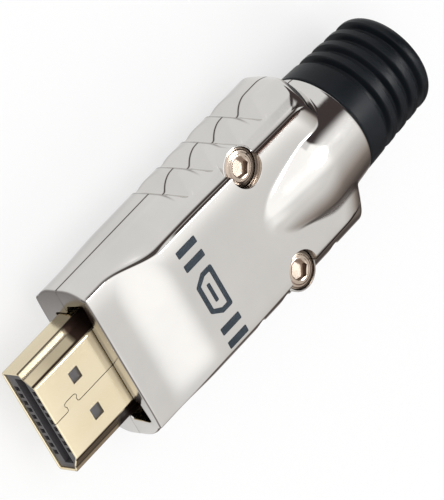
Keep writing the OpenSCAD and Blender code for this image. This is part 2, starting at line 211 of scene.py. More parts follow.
class Mesh:
    """Builders that turn arrays of points into closed, smooth shaded objects."""

    @staticmethod
    def shade(piece: bpy.types.Object, sharp_degrees: float = 32.0) -> bpy.types.Object:
        """Smooth every face, but keep an edge where the faces turn by more than the angle.

        Args:
            piece: The piece.
            sharp_degrees: The angle.

        Returns:
            The same piece.
        """
        mesh = piece.data
        mesh.polygons.foreach_set("use_smooth", np.ones(len(mesh.polygons), bool))
        mesh.set_sharp_from_angle(angle=np.radians(sharp_degrees))
        return piece

    @classmethod
    def solid(cls, name: str, points: Array, faces: Iterable) -> bpy.types.Object:
        """Make an object from points in millimetres, with seams merged and faces outwards.

        Args:
            name: The piece's name.
            points: Its points, three numbers each.
            faces: Point numbers of each face.

        Returns:
            The new object, at the origin.
        """
        mesh = bpy.data.meshes.new(name)
        mesh.from_pydata(to_part(points.reshape(-1, 3)).tolist(), [], [list(f) for f in faces])
        work = bmesh.new()
        work.from_mesh(mesh)
        bmesh.ops.remove_doubles(work, verts=work.verts, dist=MERGE_DISTANCE)
        bmesh.ops.recalc_face_normals(work, faces=work.faces)
        work.to_mesh(mesh)
        work.free()
        piece = bpy.data.objects.new(name, mesh)
        bpy.context.collection.objects.link(piece)
        return cls.shade(piece)

    @classmethod
    def loft(cls, name: str, rings: Array, ring_rows: bool = False) -> bpy.types.Object:
        """Join closed rings of points, and close both ends unless the last ring joins the first.

        Args:
            name: The piece's name.
            rings: The points, as rings, points and x, y, z.
            ring_rows: Whether the last ring joins the first.

        Returns:
            The new object.
        """
        rows, cols = rings.shape[:2]
        faces = grid_faces(rows, cols, ring_rows, True).tolist()
        if not ring_rows:
            faces += [list(range(cols)), list(range((rows - 1) * cols, rows * cols))]
        return cls.solid(name, rings, faces)

    @classmethod
    def along(cls, name: str, outline: Array, low: float, high: float, axis: Axis) -> bpy.types.Object:
        """Carry a closed outline straight along y, or along z, from low to high.

        Args:
            name: The piece's name.
            outline: The outline's points, two numbers each.
            low: Where it starts.
            high: Where it ends.
            axis: The axis that it follows.

        Returns:
            The new object.
        """
        ends = np.array([low, high])[:, None] + np.zeros((1, len(outline)))
        a, b = (np.broadcast_to(outline[:, k], ends.shape) for k in (0, 1))
        order = (a, ends, b) if axis is Axis.PLUG else (a, b, ends)
        return cls.loft(name, np.stack(order, axis=-1))

    @classmethod
    def turned(
        cls,
        name: str,
        profile: Array,
        axis: Axis,
        steps: int = 96,
        at: Pair = (0.0, 0.0),
        ring: bool = False,
    ) -> bpy.types.Object:
        """Turn a profile of radius and height around an axis.

        A point is the radius times the cosine and the sine of its angle, beside its height.

        Args:
            name: The piece's name.
            profile: Rows of radius and height along the axis.
            axis: The axis to turn around.
            steps: Number of pieces in a full turn.
            at: Where the axis stands, as its two other coordinates.
            ring: Whether the profile is a closed loop that stays off the axis.

        Returns:
            The new object.
        """
        angle = np.arange(steps)[:, None] * 2.0 * np.pi / steps
        radius, height = np.asarray(profile, float).T[:, None, :]
        a, b = at[0] + radius * np.cos(angle), at[1] + radius * np.sin(angle)
        height = np.broadcast_to(height, a.shape)
        order = (a, height, b) if axis is Axis.PLUG else (a, b, height)
        rows, cols = a.shape
        return cls.solid(name, np.stack(order, axis=-1), grid_faces(rows, cols, True, ring))

    @staticmethod
    def settle(piece: bpy.types.Object) -> bpy.types.Object:
        """Write the result of a piece's modifiers into its mesh.

        Args:
            piece: The piece.

        Returns:
            The same piece, without modifiers.
        """
        graph = bpy.context.evaluated_depsgraph_get()
        mesh = bpy.data.meshes.new_from_object(piece.evaluated_get(graph))
        piece.modifiers.clear()
        piece.data = mesh
        return piece

    @classmethod
    def combine(cls, piece: bpy.types.Object, others: Iterable, operation: str) -> bpy.types.Object:
        """Unite other solids with a piece, or take them out of it, and remove them.

        Args:
            piece: The piece that stays.
            others: The solids to add or to take away, one after the other.
            operation: UNION or DIFFERENCE.

        Returns:
            The changed piece.
        """
        for other in others:
            modifier = piece.modifiers.new("cut", "BOOLEAN")
            modifier.operation = operation
            modifier.solver = "MANIFOLD"
            modifier.object = other
            cls.settle(piece)
            bpy.data.objects.remove(other)
        return cls.shade(piece)

    @staticmethod
    def places(piece: bpy.types.Object) -> Array:
        """Read where all points of a piece lie.

        Args:
            piece: The piece.

        Returns:
            A row of x, a row of y and a row of z, in the plug's millimetres.
        """
        flat = np.empty(len(piece.data.vertices) * 3)
        piece.data.vertices.foreach_get("co", flat)
        return (flat.reshape(-1, 3) / MILLIMETRE - (0.0, NOSE_Y, AXIS_Z)).T

    @staticmethod
    def write_painted_shade(piece: bpy.types.Object, values: Array, domain: str) -> None:
        """Write how much painted shade each point or face gets, from 0 to 1, where its finish reads it."""
        attribute = piece.data.attributes.new("painted_shade", "FLOAT", domain)
        attribute.data.foreach_set("value", values.astype(np.float32))


class Shader:
    """A node tree under construction, for a material or for the world."""

    def __init__(self, owner: Any) -> None:
        """Take the tree of a material or world that uses nodes."""
        owner.use_nodes = True
        self.tree = owner.node_tree

    def feed(self, socket: bpy.types.NodeSocket, value: Any) -> None:
        """Link another node's socket to a socket, or write a plain value into it.

        Args:
            socket: The socket that takes the value.
            value: Another node's socket, or the plain value.
        """
        if isinstance(value, bpy.types.NodeSocket):
            self.tree.links.new(value, socket)
        else:
            socket.default_value = value

    def add(self, kind: str, inputs: dict | None = None, **settings: Any) -> bpy.types.Node:
        """Add a node with its settings and its inputs, which are sockets or plain values.

        Args:
            kind: The node's type.
            inputs: What goes into each socket, by the socket's name or number.
            settings: The node's own settings.

        Returns:
            The new node.
        """
        node = self.tree.nodes.new(kind)
        for name, value in settings.items():
            setattr(node, name, value)
        for key, value in (inputs or {}).items():
            self.feed(node.inputs[key], value)
        return node

    def math(self, operation: str, *values: Any) -> bpy.types.NodeSocket:
        """Add a math node and return its result."""
        inputs = dict(enumerate(values))
        return self.add("ShaderNodeMath", inputs, operation=operation).outputs[0]

    def product(self, *values: Any) -> bpy.types.NodeSocket:
        """Multiply all the values, from the first to the last."""
        return reduce(lambda a, b: self.math("MULTIPLY", a, b), values)

    def mixed(self, share: Any, first: Any, second: Any) -> bpy.types.NodeSocket:
        """Blend two colours, from the first at a share of 0 to the second at 1."""
        inputs = {0: share, 6: first, 7: second}
        return self.add("ShaderNodeMix", inputs, data_type="RGBA").outputs[2]

    def noise(
        self, scale: float, detail: float = 2.0, stretch: Triple = (1.0, 1.0, 1.0)
    ) -> bpy.types.NodeSocket:
        """Add a noise over the object's coordinates, finer or coarser along each axis.

        Args:
            scale: Repeats per metre.
            detail: Number of finer layers.
            stretch: Factor on the scale along x, y and z.

        Returns:
            The noise's value, from 0 to 1.
        """
        place = self.add("ShaderNodeTexCoord").outputs["Object"]
        moved = self.add("ShaderNodeMapping", {"Vector": place, "Scale": stretch}).outputs[0]
        inputs = {"Vector": moved, "Scale": scale, "Detail": detail}
        return self.add("ShaderNodeTexNoise", inputs).outputs[0]

    def rise(self, value: bpy.types.NodeSocket, low: float, high: float) -> bpy.types.NodeSocket:
        """Rise smoothly from 0 at low to 1 at high, or fall where high is the smaller.

        Args:
            value: The value that is looked at.
            low: Where the result is 0.
            high: Where the result is 1.

        Returns:
            The result, from 0 to 1.
        """
        node = self.add("ShaderNodeMapRange", {"Value": value, "From Min": low, "From Max": high})
        node.interpolation_type = "SMOOTHSTEP"
        return node.outputs[0]

    def spread(self, value: bpy.types.NodeSocket, low: float, high: float) -> bpy.types.NodeSocket:
        """Spread a noise's usual range over low to high."""
        inputs = {"Value": value, "From Min": 0.3, "From Max": 0.7, "To Min": low, "To Max": high}
        return self.add("ShaderNodeMapRange", inputs).outputs[0]


@dataclass(frozen=True)
class Finish:
    """What every finish has: a name, two close colours, and how its surface is broken up.

    The patches, the grain and the ripple are given as repeats per metre, and depths in metres.
    """

    name: str
    colour: Triple
    other: Triple
    metallic: float = 0.0
    roughness: Pair = (0.4, 0.5)
    specular: float = 0.5
    patch: float = 300.0
    grain: float = 3000.0
    grain_depth: float = 0.000002
    ripple: float = 0.0
    ripple_depth: float = 0.0
    stretch: Triple = (1.0, 1.0, 1.0)
    # Colour of the painted shade and dark painted reflections, and how much rougher it is there
    painted_shade: Triple | None = None
    painted_shade_roughness: float = 0.25

    @cache
    def material(self) -> bpy.types.Material:
        """Build the material at the first call, and return the same one at later calls.

        Patches of noise blend the two colours and vary the roughness, and a finer grain, with a
        broad ripple where there is one, raises the surface by a few thousandths of a millimetre.
        Where the piece's attribute is 1, the colour is the painted shade's, which stands in for
        shade and dark reflections, and the surface is rougher.

        Returns:
            The material.
        """
        material = bpy.data.materials.new(self.name)
        shader = Shader(material)
        surface = shader.tree.nodes["Principled BSDF"]
        surface.inputs["Metallic"].default_value = self.metallic
        surface.inputs["Specular IOR Level"].default_value = self.specular
        patches = shader.noise(self.patch, 3.0, self.stretch)
        share = shader.spread(patches, 0.0, 1.0)
        colour = shader.mixed(share, (*self.colour, 1.0), (*self.other, 1.0))
        rough = shader.spread(patches, *self.roughness)
        if self.painted_shade:
            # Blend in the painted shade and dark painted reflections that the piece's attribute holds
            shade_share = shader.add("ShaderNodeAttribute", attribute_name="painted_shade").outputs["Fac"]
            colour = shader.mixed(shade_share, colour, (*self.painted_shade, 1.0))
            rough = shader.math("MULTIPLY_ADD", shade_share, self.painted_shade_roughness, rough)
        shader.feed(surface.inputs["Base Color"], colour)
        shader.feed(surface.inputs["Roughness"], rough)
        fine = shader.noise(self.grain, 3.0, self.stretch)
        inputs = {"Strength": 1.0, "Distance": self.grain_depth, "Height": fine}
        bump = shader.add("ShaderNodeBump", inputs).outputs[0]
        if self.ripple:
            broad = shader.noise(self.ripple, 1.0)
            inputs = {"Strength": 1.0, "Distance": self.ripple_depth, "Height": broad, "Normal": bump}
            bump = shader.add("ShaderNodeBump", inputs).outputs[0]
        shader.feed(surface.inputs["Normal"], bump)
        return material

    def dress(self, piece: bpy.types.Object) -> bpy.types.Object:
        """Give the finish to every material slot of a piece.

        Args:
            piece: The piece.

        Returns:
            The same piece.
        """
        if not piece.material_slots:
            piece.data.materials.append(None)
        for slot in piece.material_slots:
            slot.material = self.material()
        return piece


# Last colours of casting, gilt and screws: painted shade and dark painted reflections
POLISHED_CASTING = Finish(
    "polished_casting", (0.705, 0.687, 0.66), (0.655, 0.64, 0.618), 1.0, (0.05, 0.10),
    patch=140.0, grain=2600.0, grain_depth=0.0000008, ripple=170.0, ripple_depth=0.000012,
    painted_shade=(0.045, 0.03, 0.025),
)
GILT = Finish(
    "gilt_sheet", (0.92, 0.81, 0.585), (0.87, 0.75, 0.52), 1.0, (0.12, 0.2),
    patch=260.0, grain=2400.0, grain_depth=0.0000016, ripple=240.0, ripple_depth=0.000008,
    stretch=(1.0, 0.12, 1.0), painted_shade=(0.03, 0.018, 0.014),
)
SCREW_STEEL = Finish(
    "socket_screw", (0.56, 0.465, 0.385), (0.48, 0.40, 0.33), 1.0, (0.09, 0.16),
    patch=700.0, grain=5000.0, grain_depth=0.000001, painted_shade=(0.17, 0.11, 0.085),
)
DARK_MOULDING = Finish(
    "dark_moulding", (0.085, 0.08, 0.085), (0.07, 0.066, 0.07), 0.0, (0.38, 0.5),
    patch=500.0, grain=6000.0, grain_depth=0.000003,
)
PALE_MOULDING = Finish(
    "pale_moulding", (0.62, 0.60, 0.54), (0.56, 0.54, 0.48), 0.0, (0.42, 0.55),
    patch=400.0, grain=6000.0, grain_depth=0.000003,
)
TINNED_SHEET = Finish(
    "tinned_cover", (0.62, 0.62, 0.61), (0.54, 0.54, 0.53), 1.0, (0.28, 0.42),
    patch=350.0, grain=3000.0, grain_depth=0.000002, stretch=(1.0, 0.1, 1.0),
)
BLACK_RUBBER = Finish(
    "moulded_rubber", (0.0055, 0.0072, 0.0095), (0.0085, 0.0105, 0.0135), 0.0, (0.33, 0.44), 0.14,
    patch=220.0, grain=2600.0, grain_depth=0.00001, ripple=600.0, ripple_depth=0.00001,
)
MARK_PAINT = Finish(
    "mark_paint", (0.024, 0.034, 0.044), (0.034, 0.044, 0.056), 0.0, (0.32, 0.42), 0.2,
    patch=900.0, grain=5000.0, grain_depth=0.000003,
)


def fitted(piece: bpy.types.Object, finish: Finish, slot: str, *nodes: str) -> bpy.types.Object:
    """Dress a new piece, let it ride on the part and hide the nodes that it stands for.

    Args:
        piece: The new piece.
        finish: Its finish.
        slot: The record's material slot, or an empty text; not used.
        nodes: The nodes that it replaces.

    Returns:
        The piece.
    """
    finish.dress(piece)
    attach(piece, "root")
    if nodes:
        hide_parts(*nodes)
    LOG.info("%s: %d faces", piece.name, len(piece.data.polygons))
    return piece


def round_union(a: Array, b: Array, radius: float) -> Array:
    """Unite two distance fields, with a hollow fillet of that radius where they meet.

    It is the larger of the radius and the smaller field, less the length of the two amounts by
    which the fields stay below the radius.

    Args:
        a: One field.
        b: The other field.
        radius: The fillet's radius.

    Returns:
        The united field.
    """
    return np.maximum(radius, np.minimum(a, b)) - np.hypot(
        np.maximum(radius - a, 0.0), np.maximum(radius - b, 0.0)
    )


def soft_union(a: Array, b: Array, reach: Array) -> Array:
    """Unite two distance fields: the smaller, less a quarter of (reach - difference)^2 / reach."""
    near = np.maximum(reach - np.abs(a - b), 0.0)
    return np.minimum(a, b) - 0.25 * near**2 / reach


def round_overlap(a: Array, b: Array, radius: float) -> Array:
    """Keep what is inside both distance fields, with a rounded edge of that radius."""
    return -round_union(-a, -b, radius)


@dataclass
class Screws:
    """The two hexagon socket head cap screws, and where they stand in the housing."""

    x: float = 7.3
    y: float = 25.2
    seat: float = 2.8
    head_height: float = 2.62
    head_radius: float = 2.27
    side_drop: float = 0.4
    face_inset: float = 0.06
    face_flat: float = 1.3
    face_fall: float = 0.32
    turned_pitch: float = 0.3
    turned_depth: float = 0.01
    foot_bevel: float = 0.1
    length: float = 6.0
    shank_radius: float = 1.25
    neck_inset: float = 0.05
    neck_length: float = 0.5
    tip_bevel: Pair = (0.35, 0.5)  # across and along
    thread_depth: float = 0.2
    pitch: float = 0.45
    flats: float = 2.15
    socket_turn: float = 0.35
    socket_depth: float = 1.0
    floor_lean: Pair = (0.2255, 0.11)
    mouth_depth: float = 0.62
    # How dark the painted shade on the socket's walls is
    dark_walls: float = 0.8
    # Radius and darkness of each ring of painted reflection on the face
    dark_rings: Pairs = ((1.66, 1.0), (2.03, 0.85))

    @property
    def top(self) -> float:
        """Height of the middle of the head's face."""
        return self.seat + self.head_height

    def profile(self) -> list[Pair]:
        """Radius and height from the tip, over the thread's ridges, to the middle of the head.

        Outside its flat middle the face falls with the square of the way out, and the marks of
        turning lie on it as a cosine.

        Returns:
            Pairs of radius and height.
        """
        tip, top = self.seat - self.length, self.top
        thread_end = self.seat - self.neck_length - 0.1
        ridge = np.arange(tip + self.tip_bevel[1], thread_end, self.pitch / 2)
        root_radius = self.shank_radius - self.thread_depth
        neck_radius = self.shank_radius - self.neck_inset
        thread = np.where(np.arange(len(ridge)) % 2, root_radius, self.shank_radius)
        radius = np.linspace(self.head_radius - self.face_inset, self.face_flat, 25)
        past = radius - self.face_flat
        turned = self.turned_depth * (np.cos(2 * np.pi * past / self.turned_pitch) - 1)
        face = np.stack([radius, top - self.face_fall * past**2 + turned], axis=1)
        return [
            (0, tip), (self.shank_radius - self.tip_bevel[0], tip), *zip(thread, ridge),
            (neck_radius, self.seat - self.neck_length), (neck_radius, self.seat),
            (self.head_radius - self.foot_bevel, self.seat),
            (self.head_radius, self.seat + self.foot_bevel),
            (self.head_radius, top - self.side_drop), *map(tuple, face), (0, top),
        ]

    def socket(self, x: float) -> bpy.types.Object:
        """Build the hexagon socket, with a floor that leans a little, and the cone at its mouth.

        The floor's height at a corner is its middle's plus the corner's place times the lean.

        Args:
            x: Where the screw stands.

        Returns:
            The cutter.
        """
        above = self.top + 1.0
        corner_radius = self.flats / np.sqrt(3.0)
        angle = np.arange(6) * np.pi / 3 + self.socket_turn
        outline = corner_radius * np.stack([np.cos(angle), np.sin(angle)], axis=1)
        floor = self.top - self.socket_depth + outline @ np.array(self.floor_lean)
        walls = np.repeat((outline + (x, self.y))[None], 2, axis=0)
        hexagon = Mesh.loft("hexagon", np.dstack([walls, np.stack([floor, np.full(6, above)])]))
        reach, high = corner_radius + 0.03, self.top + 0.8
        profile = [(0, self.top - self.mouth_depth), (reach, self.top), (reach, high), (0, high)]
        cone = Mesh.turned("cone", profile, Axis.UPRIGHT, 48, (x, self.y))
        return Mesh.combine(hexagon, [cone], "UNION")

    def painted_shade(self, screw: bpy.types.Object) -> None:
        """Paint shade on the walls of a screw's socket, and dark reflections on two rings of its face.

        Walls are the upright faces near the screw's axis. A ring is dark within 0.04 mm of its
        radius and fades over 0.06 mm, and it is darkest where it faces right.

        Args:
            screw: The screw.
        """
        faces = screw.data.polygons
        flat = np.empty((2, len(faces) * 3))
        faces.foreach_get("normal", flat[0])
        faces.foreach_get("center", flat[1])
        normal, place = flat.reshape(2, -1, 3)
        x, y = place[:, 0] / MILLIMETRE, place[:, 1] / MILLIMETRE - NOSE_Y - self.y
        x -= np.sign(x) * self.x
        away = np.hypot(x, y)
        # Painted shade on the socket's walls, and painted reflections in the rings, darkest facing right
        wall = self.dark_walls * fall(np.abs(normal[:, 2]), 0.1, 0.5) * (away < self.face_flat + 0.1)
        rings = [dark * fall(np.abs(away - radius), 0.04, 0.1) for radius, dark in self.dark_rings]
        ring = np.max(rings, axis=0) * (0.55 + 0.45 * x / np.maximum(away, 0.1)) * (normal[:, 2] > 0.5)
        Mesh.write_painted_shade(screw, np.maximum(wall, ring), "FACE")

    def build(self) -> None:
        """Build both screws."""
        for side, name in zip(SIDES, ("left", "right")):
            x = side * self.x
            screw = Mesh.turned(f"cap_screw_{name}", self.profile(), Axis.UPRIGHT, 72, (x, self.y))
            screw = Mesh.combine(screw, [self.socket(x)], "DIFFERENCE")
            self.painted_shade(screw)
            fitted(screw, SCREW_STEEL, "screw_steel", f"screw_{name}")


@dataclass
class Housing:
    """The two halves of the cast housing.

    The outside is a function of two parameters: the station along y, and the angle around the
    plug's axis. Its radius is where a ray at that angle leaves the form. The form is the overlap
    of a rounded section with a plate on it, the outline seen from above with its side grips, the
    ramp seen from the side, and a rounded tail, all united with the dome and collar.
    """

    screws: Screws
    # The section, the ramp and the plate
    half_width: float = 10.25
    length: float = 40.7
    side_radius: float = 4.6
    side_height: float = 1.3
    nose_wall: float = 0.45
    nose_height: float = 4.4
    plate_height: float = 6.4
    ramp: Pair = (3.0, 10.5)
    nose_plate: float = 9.05
    plate: float = 7.9
    tail_plate: float = 7.47
    narrowing: Pair = (14.0, 36.0)
    crown: float = 0.2
    # The side grips, the shoulder behind them and the tail
    first_crest: float = 16.65
    grip_pitch: float = 4.45
    grips: int = 4
    # How far in a scallop's front lies at each distance behind its crest
    scallop_front: Pairs = ((0.0, 0.0), (1.15, 1.25), (1.5, 1.39), (1.9, 1.355))
    scallop_end: float = 4.2
    scallop_radius: float = 2.63
    crest_rounding: float = 0.09
    shoulder_y: float = 35.6
    shoulder_radius: float = 4.5
    tail_y: float = 22.4
    tail_ring: float = 10.95
    tail_radius: float = 7.39
    # The dome and the collar, and the edges
    # Radius at each y
    dome_line: Pairs = (
        (10.0, 3.1), (22.8, 6.13), (26.3, 6.97), (32.7, 7.735), (34.2, 7.755), (40.7, 7.04), (50.0, 6.0)
    )
    dome_bend: float = 0.75
    foot_fillet: float = 0.2
    plan_edge: float = 0.12
    front_edge: float = 0.28
    lip_edge: float = 0.3
    parting_gap: float = 0.02
    parting_depth: float = 0.07
    parting_slope: Pair = (0.01, 0.13)
    # The hollow inside
    # The right side of the front opening, from below, and the radius of each corner
    opening_side: Pairs = (
        (7.05, -2.28), (7.05, -0.2), (8.0, 0.45), (8.25, 3.25), (5.45, 3.05), (5.1, 2.52)
    )
    opening_radii: tuple[float, ...] = (0.55, 0.3, 0.3, 0.35, 0.2, 0.15)
    opening_edge: float = 0.16
    pocket_half: Pair = (7.85, 3.35)  # across and up, as the chamber's
    pocket_corner: float = 0.3
    pocket_y: Pair = (2.55, 10.05)
    chamber_half: Pair = (7.4, 4.3)
    chamber_corner: float = 0.4
    chamber_y: Pair = (10.0, 21.4)
    # Radius at each y of the channel behind the chamber and of the collar's bore
    neck: Pairs = (
        (0, 20.4), (4.8, 20.4), (4.8, 36.7), (6.3, 36.7), (6.3, 38.8), (5.65, 38.8),
        (5.65, 40.5), (5.72, 40.62), (5.9, 40.7), (5.9, 43.0), (0, 43.0),
    )
    # The holes for the screws
    bore: float = 2.3
    bore_edge: float = 0.12
    bore_shade_rows: Pair = (5.2, 5.7)  # heights of rings of points, for the shade to change over
    clearance_hole: float = 1.4
    tapped_hole: float = 1.27
    tapped_end: float = -3.4
    boss_foot: float = 2.5
    boss_radius: float = 2.48
    boss_height: float = 5.38
    boss_edge: float = 0.08
    # How the skin's rays are measured
    ray_reach: Pair = (2.0, 14.0)
    halvings: int = 34

    @cached_property
    def plan_table(self) -> tuple[Array, Array, Array]:
        """Half width seen from above at fine steps of y, and its slope.

        Behind each crest the side falls in three straight steps and comes back on an arc to the
        next crest. Behind the last one a quarter circle rounds the shoulder. A bell curve then
        rounds the crests.

        Returns:
            The values of y, the half widths and the slopes.
        """
        step = 0.01
        y = np.arange(-2.0, 44.0, step)
        past = y - self.first_crest
        gripped = (past > 0) & (past < self.grips * self.grip_pitch)
        along = np.where(gripped, past % self.grip_pitch, 0.0)
        front_y, front_depth = np.array(self.scallop_front).T
        back = self.scallop_radius**2 - (self.scallop_end - along) ** 2
        arc = self.scallop_radius - np.sqrt(np.maximum(back, 0.0))
        arc = np.where(along < self.scallop_end, arc, 0.0)
        depth = np.where(along < front_y[-1], np.interp(along, front_y, front_depth), arc)
        behind = np.clip(y - self.shoulder_y, 0.0, self.shoulder_radius)
        shoulder = self.half_width - self.shoulder_radius + np.sqrt(self.shoulder_radius**2 - behind**2)
        reach = np.arange(-0.4, 0.405, step)
        width = np.pad(np.minimum(self.half_width - depth, shoulder), len(reach) // 2, mode="edge")
        width = bell_blur(width, reach, self.crest_rounding)
        return y, width, np.gradient(width, y)

    def ramp_height(self, y: Array, x: Array = 0.0) -> Array:
        """Height of the ramp and the plate, which fall a little towards their sides.

        The height rises by a smooth step from the nose's to the plate's. The crown is taken off it
        times the sixth power of x over the plate's half width.

        Args:
            y: Where along the plug.
            x: Where across it.

        Returns:
            The height.
        """
        rise = (self.plate_height - self.nose_height) * smooth_step(y, *self.ramp)
        return self.nose_height + rise - self.crown * (x / self.plate_width(y)) ** 6

    def plate_width(self, y: Array) -> Array:
        """Half width of the plate at y: it narrows over the ramp, and a little more to the tail."""
        front = self.nose_plate - (self.nose_plate - self.plate) * smooth_step(y, *self.ramp)
        return front - (self.plate - self.tail_plate) * smooth_step(y, *self.narrowing)

    @cached_property
    def dome_table(self) -> tuple[Array, Array]:
        """Radius of the dome and collar at fine steps of y: straight lines, rounded by a bell curve.

        Returns:
            The values of y and the radii.
        """
        step = 0.02
        y = np.arange(8.0, 46.0, step)
        reach = np.arange(-3.0, 3.01, step)
        longer = np.pad(y, len(reach) // 2, mode="reflect", reflect_type="odd")
        return y, bell_blur(np.interp(longer, *np.array(self.dome_line).T), reach, self.dome_bend)

    def dome(self, y: Array) -> Array:
        """Radius of the dome and collar at y, between the table's steps."""
        return np.interp(y, *self.dome_table)

    def shoulder(self, y: Array) -> Array:
        """Height of the middle of the sides' rounding, which is lower at the nose."""
        return self.side_height - self.nose_wall * fall(y, *self.ramp)

    def section_height(self, x: Array, y: Array) -> Array:
        """Height of the rounded section at x and y."""
        inwards = np.clip(self.half_width - x, 0.0, self.side_radius)
        return self.shoulder(y) + np.sqrt(2.0 * self.side_radius * inwards - inwards**2)

    def past_tail_ring(self, x: Array, y: Array) -> Array:
        """How far x and y lie outside the ring that the tail's rounding is turned on."""
        return np.hypot(x, np.maximum(y - self.tail_y, 0.0)) - self.tail_ring

    def tail_height(self, x: Array, y: Array) -> Array:
        """Height of the rounded tail above x and y."""
        out = np.maximum(self.past_tail_ring(x, y), 0.0)
        return np.sqrt(np.maximum(self.tail_radius**2 - out**2, 0.01))

    def body(self, x: Array, y: Array, z: Array) -> Array:
        """Distance from the outside of the form without its dome and collar.

        The section is a box with rounded corners, united with the plate by a fillet. The ramp's
        height, the outline seen from above and the tail then each cut it off with a rounded edge.

        Args:
            x: Places across the plug, on its right side.
            y: Places along it.
            z: Places above the axis.

        Returns:
            The distance, below 0 inside.
        """
        table_y, table_width, table_slope = self.plan_table
        slope = np.interp(y, table_y, table_slope)
        plan = (x - np.interp(y, table_y, table_width)) / np.hypot(1.0, slope)
        over_x, over_z = x - (self.half_width - self.side_radius), z - self.shoulder(y)
        section = np.hypot(np.maximum(over_x, 0), np.maximum(over_z, 0)) - self.side_radius
        section += np.minimum(np.maximum(over_x, over_z), 0.0)
        body = round_union(section, x - self.plate_width(y), self.foot_fillet)
        plate_edge = 0.12 + 0.16 * smooth_step(y, 5.0, 10.0)
        body = round_overlap(body, z - self.ramp_height(y, x), plate_edge)
        body = round_overlap(body, plan, self.plan_edge)
        tail = np.hypot(np.maximum(self.past_tail_ring(x, y), 0.0), z) - self.tail_radius
        tail_edge = 0.25 + 0.65 * smooth_step(z, 4.6, 5.6)
        return round_overlap(body, tail, tail_edge)

    def field(self, x: Array, y: Array, z: Array) -> Array:
        """Distance from the whole outside: the body, softly united with the dome and collar.

        Args:
            x: Places across the plug, on its right side.
            y: Places along it.
            z: Places above the axis.

        Returns:
            The distance, below 0 inside.
        """
        dome = np.hypot(x, z) - self.dome(y)
        reach = 0.2 - 0.1 * smooth_step(y, 29.0, 33.0)
        return soft_union(self.body(x, y, z), dome, reach)

    def stations(self) -> Array:
        """Stations along y, close together at the front edge, over the grips and at the lip.

        Returns:
            The values of y, from the front to the rear.
        """
        grips_from, grips_to = 16.3, 35.2
        turn = np.linspace(0.0, QUARTER_TURN, 6)
        front = self.front_edge * (1.0 - np.cos(turn))
        nose = np.linspace(self.front_edge, grips_from, 50)[1:]
        grips = np.linspace(grips_from, grips_to, 158)[1:]
        collar = np.linspace(grips_to, self.length - self.lip_edge, 30)[1:]
        lip = self.length - self.lip_edge * (1.0 - np.sin(turn))[1:]
        return np.concatenate([front, nose, grips, collar, lip])

    def angles(self, y: Array) -> Array:
        """Angles around the axis for each station, from the parting plane to straight up.

        Columns follow the plate's foot, the plate's edge and the line where the dome leaves the
        plate, with a few close together on each side of those lines.

        Args:
            y: The stations.

        Returns:
            One row of angles for each station.
        """
        w = self.plate_width(y)
        foot = np.arctan2(np.minimum(self.section_height(w, y), self.tail_height(w, y)), w)
        edge = np.arctan2(np.minimum(self.ramp_height(y, w), self.tail_height(w, y)), w)
        least_wall, least_plate = 0.035, 0.12
        edge = np.maximum(edge, foot + least_wall)
        crossing = np.sqrt(np.maximum(self.dome(y) ** 2 - self.plate_height**2, 0.0))
        crossing = np.clip(crossing, 1.6, 5.0)
        crest = np.maximum(np.arctan2(self.plate_height, crossing), edge + least_plate)
        near, near_crest = 0.4 * (edge - foot), 0.05
        # Angles at each station, with the number of columns up to the next ones
        knots = [
            (np.full_like(y, 0.0015), 3), (np.full_like(y, 0.014), 40), (foot - near, 5),
            (foot + near, 4), (edge - near, 14), (edge + near, 16), (crest - near_crest, 7),
            (crest + near_crest, 15), (np.full_like(y, QUARTER_TURN), 0),
        ]
        parts = [
            a[:, None] + (b - a)[:, None] * (np.arange(count) / count)[None, :]
            for (a, count), (b, _) in zip(knots[:-1], knots[1:])
        ]
        return np.hstack([*parts, np.full((len(y), 1), QUARTER_TURN)])

    def quarter(self) -> Array:
        """Points of the skin over one quarter, a row for each station.

        Each ray's length is found by halving the stretch in which the field changes sign. The
        front edge and the lip then draw it in along a quarter circle, and the parting line along
        a smooth step.

        Returns:
            Points as stations, angles and x, y, z.
        """
        y = self.stations()
        angle = self.angles(y)
        y = np.broadcast_to(y[:, None], angle.shape)
        low, high = (np.full(angle.shape, reach) for reach in self.ray_reach)
        for _ in range(self.halvings):
            middle = 0.5 * (low + high)
            inside = self.field(middle * np.cos(angle), y, middle * np.sin(angle)) < 0.0
            low, high = np.where(inside, middle, low), np.where(inside, high, middle)
        front = np.maximum(self.front_edge - y, 0.0)
        lip = np.maximum(y - (self.length - self.lip_edge), 0.0)
        inset = self.front_edge - np.sqrt(self.front_edge**2 - front**2)
        inset += self.lip_edge - np.sqrt(np.maximum(self.lip_edge**2 - lip**2, 0.0))
        radius = low - inset - self.parting_depth * fall(low * np.sin(angle), *self.parting_slope)
        points = np.stack([radius * np.cos(angle), y, radius * np.sin(angle)], axis=-1)
        points[:, 0, 2] = self.parting_gap
        return points

    def skin(self, half: Half) -> bpy.types.Object:
        """Build the outside of one half, closed by its front, its rear and the parting plane.

        Args:
            half: Which half.

        Returns:
            The new object, still solid inside.
        """
        quarter = self.quarter()
        left = quarter[:, -2::-1] * (-1.0, 1.0, 1.0)
        points = np.concatenate([quarter, left], axis=1) * (1.0, 1.0, half.value)
        rows, cols = points.shape[:2]
        start = np.arange(rows - 1) * cols
        parting = np.stack([start, start + cols, start + 2 * cols - 1, start + cols - 1], axis=1)
        ends = [list(range(cols)), list(range((rows - 1) * cols, rows * cols))]
        faces = grid_faces(rows, cols).tolist() + parting.tolist() + ends
        return Mesh.solid(f"housing_{half.name.lower()}_casting", points, faces)

    def opening(self, grow: float) -> Array:
        """Outline of the front opening, close to the shell and wide beside its ledges."""
        radii = self.opening_radii + self.opening_radii[::-1]
        return grown(rounded(mirrored(self.opening_side), radii), grow)

